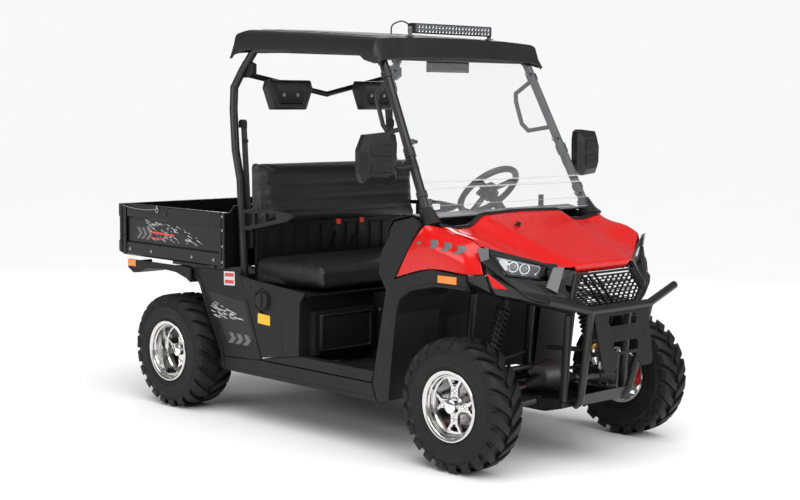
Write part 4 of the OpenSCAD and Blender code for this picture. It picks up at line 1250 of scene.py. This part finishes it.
def build_labels():
    grey_marks, whites, yellows, reds, plates = (Shape() for _ in range(5))
    for y in (1455, 1400, 1345):
        for quad in chevron(y - 62, 372, 24, 30):
            side_plate(grey_marks, quad, 580.3, 0.6)
    side_plate(plates, [(1600, 574), (1330, 548), (1268, 392), (1296, 350), (1452, 345)], 580.0, 0.4)
    side_plate(yellows, [(1146, 458), (1232, 462), (1232, 508), (1146, 503)], 580.2, 0.6)
    side_plate(whites, [(1399, 616), (1479, 612), (1481, 676), (1401, 680)], 580.4, 0.5)
    for low, high in ((624, 640), (656, 672)):
        side_plate(reds, [(1408, low), (1472, low - 3), (1472, high - 3), (1408, high)], 581.0, 0.4)
    for seed, (y0, y1, z0, z1) in enumerate(((1330, 1560, 455, 555),)):
        scatter = random.Random(seed + 3)
        for _ in range(90):
            y, z = scatter.uniform(y0, y1), scatter.uniform(z0, z1)
            if z > 470 + (y - 1330) * 0.3:
                continue
            run, tall = scatter.uniform(8, 46), scatter.uniform(1.2, 3.4)
            side_plate(whites, [(y, z), (y + run, z + run * 0.16), (y + run * 0.9, z + run * 0.16 + tall),
                                (y + run * 0.1, z + tall)], 580.6, 0.3)
    for shape, name, material in ((grey_marks, "quarter_arrows", GREY_DECAL),
                                  (whites, "quarter_marks", WHITE_TRIM),
                                  (yellows, "yellow_labels", YELLOW_DECAL), (reds, "label_bars", RED_LENS),
                                  (plates, "quarter_fields", CHASSIS)):
        shape.mirrored().piece(name, material, "chassis")
    bed_grey, bed_white, bed_red, fields = Shape(), Shape(), Shape(), Shape()
    side_plate(fields, [(2246, 766), (1640, 766), (1900, 864), (2246, 870)], 573.2, 0.4)
    for y in (2180, 2140, 2100):
        for quad in chevron(y - 40, 806, 28, 22):
            side_plate(bed_grey, quad, 573.6, 0.6)
    scatter = random.Random(11)
    for _ in range(90):
        y, z = scatter.uniform(1640, 2080), scatter.uniform(772, 862)
        if z > 766 + (y - 1640) * 0.36 + 26:
            continue
        run, tall = scatter.uniform(6, 44), scatter.uniform(1.0, 3.6)
        side_plate(bed_white, [(y, z), (y + run, z + run * 0.28), (y + run * 0.9, z + run * 0.28 + tall),
                               (y + run * 0.1, z + tall)], 573.8, 0.3)
    side_plate(bed_red, [(1880, 806), (2070, 812), (2066, 822), (1876, 816)], 573.8, 0.5)
    side_plate(bed_red, [(1960, 784), (2076, 788), (2074, 793), (1958, 789)], 573.8, 0.5)
    for shape, name, material in ((bed_grey, "bed_arrows", GREY_DECAL), (bed_white, "bed_marks", WHITE_TRIM),
                                  (bed_red, "bed_stripes", RED_LENS), (fields, "bed_fields", CHASSIS)):
        shape.mirrored().piece(name, material, "bed")


def build_paint_arrows():
    """Grey arrowheads that lie on the red side skins."""
    skin = bpy.data.objects["side_panel_skin"]
    shape = Shape()
    arrows = [chevron(y, z, 17, 34) for y, z in ((98, 902), (34, 896), (-28, 888))]
    quads = [q for pair in arrows for q in pair]
    quads.append([(190, 900), (202, 910), (226, 898), (206, 895)])
    for quad in quads:
        a, b, c, d = (Vector((0, *p)) for p in quad)
        rows = []
        for i in range(6):
            row = []
            for k in range(6):
                low, high = a.lerp(b, i / 5), d.lerp(c, i / 5)
                p = low.lerp(high, k / 5)
                fall = surface_height(skin, (640, p.y, p.z), (-1, 0, 0))
                row.append((640 - fall + 0.8, p.y, p.z) if fall else None)
            rows.append(row)
        if any(point is None for row in rows for point in row):
            continue
        shape.grid(rows)
    thing = shape.mirrored().piece("paint_arrows", GREY_DECAL, "chassis")
    modify(thing, "SOLIDIFY", thickness=0.0005, offset=0)


build_labels()
build_paint_arrows()


# ---- cargo bed details ----

def build_bed_trim():
    posts, bolts, rubber, wire, zinc = (Shape() for _ in range(5))
    posts.box((578, 1500, 700), (583, 1512, 940))
    for z in (716, 790, 864, 928):
        bolts.bolt((581, 1492, z), (1, 0, 0), 6, 3)
        bolts.bolt((581, 2286, z), (1, 0, 0), 6, 3)
    for y in (1560, 1730, 2060, 2240):
        bolts.bolt((580, y, 722), (1, 0, 0), 7, 4)
    posts.prism([(581, 2270, 694), (581, 2300, 694), (581, 2300, 942), (581, 2270, 942)], (3, 0, 0))
    posts.tube([(584, 2306, 700), (584, 2306, 940)], 6, 12)
    rubber.lathe([(15, 0), (15, 3), (11, 6), (0, 7)], (580, 1943, 918), (1, 0, 0), 24)
    ring = [Vector((586, 2001 + 9 * math.cos(a), 926 + 11 * math.sin(a))) for a in
            (2 * math.pi * k / 16 for k in range(17))]
    zinc.tube(ring, 1.8, 8)
    zinc.box((583, 1996, 934), (588, 2006, 950))
    for y in (1497, 1553):
        posts.prism([(560, y, 684), (578, y, 684), (578, y, 700), (560, y, 706)], (0, 40, 0))
    wire.tube(spline([(586, 2010, 932), (586, 2100, 925), (586, 2200, 928), (586, 2298, 937)], 8), 2.4, 8)
    edge = [Vector((x, 1480, z)) for x, z in ((-548, 946), (-520, 962), (-480, 973), (0, 975), (480, 973),
                                              (520, 962),
                                              (548, 946))]
    posts_tube = Shape().tube(spline(edge, 6), 5, 12)
    posts_tube.piece("headboard_edge", BED_PAINT, "bed", slot="bed_plastic")
    bevelled(posts.mirrored().piece("bed_posts", BED_PAINT, "bed"), 1)
    bolts.mirrored().piece("bed_bolts", STEEL, "bed")
    rubber.mirrored().piece("bed_plugs", SOFT_RUBBER, "bed")
    zinc.mirrored().piece("cable_rings", STEEL, "bed")
    wires = wire.mirrored().piece("tailgate_cable_look", STEEL, "bed", replaces=("tailgate_cables",),
                                  slot="cable_sheath")
    handles = Shape()
    for x in (-430, 400):
        handles.prism([(x, 2341, 900), (x + 30, 2341, 900), (x + 30, 2341, 926), (x, 2341, 926)], (0, 3, 0))
        handles.tube([(x + 15, 2343, 926), (x + 15, 2345, 934)], 4, 10)
    bevelled(handles.piece("tailgate_latches", STEEL, "tailgate"), 1)
    return wires


build_bed_trim()


# ---- running gear under the body ----

def build_drive():
    """Cast housings, the engine case and ribbed shaft boots in place of plain blocks."""
    cast, rubber, bars = Shape(), Shape(), Shape()
    for y, half, z in ((0, 78, 325), (WHEELBASE, 92, 335)):
        cast.lathe([(20, -half), (46, -half + 4), (58, -half + 22), (62, -20), (66, -14), (66, 14), (62, 20),
                    (58, half - 22), (46, half - 4), (20, half)], (0, y, z), (1, 0, 0), 32)
        for k in range(8):
            a = 2 * math.pi * k / 8
            cast.bolt((16, y + 62 * math.cos(a), z + 62 * math.sin(a)), (1, 0, 0), 5, 4)
        for side in (1, -1):
            inner = Vector((side * half, y, 300))
            outer = Vector((side * (405 if y == 0 else 418), y, AXLE_Z))
            run = (outer - inner).normalized()
            long = (outer - inner).length
            bars.lathe([(12, 0), (12, long)], inner, run, 20)
            for start, flip in ((0, 1), (long, -1)):
                profile = []
                for k in range(6):
                    wide = 38 - 4.2 * k
                    profile += [(wide, start + flip * (14 * k)), (wide + 3, start + flip * (14 * k + 5)),
                                (wide - 3, start + flip * (14 * k + 10))]
                rubber.lathe(profile, inner, run, 24)
    cast.box((-215, 1065, 275), (215, 1395, 420))
    cast.box((-170, 1090, 420), (170, 1370, 595))
    for k in range(7):
        cast.box((-190, 1100 + 40 * k, 430), (190, 1106 + 40 * k, 580))
    bars.lathe([(12, 0), (12, 970)], (0, 90, 278), (0, 1, 0), 20)
    bars.lathe([(12, 0), (12, 300)], (0, 1400, 278), (0, 1, 0), 20)
    bars.lathe([(40, -180), (58, -172), (60, 172), (40, 180)], (0, 2150, 500), (1, 0, 0), 32)
    thing = bevelled(cast.piece("drive_housings", CAST, "chassis", replaces=("powertrain",),
                                slot="cast_metal"), 3)
    rubber.piece("shaft_boots", SOFT_RUBBER, "chassis")
    bars.piece("drive_shafts", STEEL, "chassis", slot="bare_steel")
    return thing


build_drive()
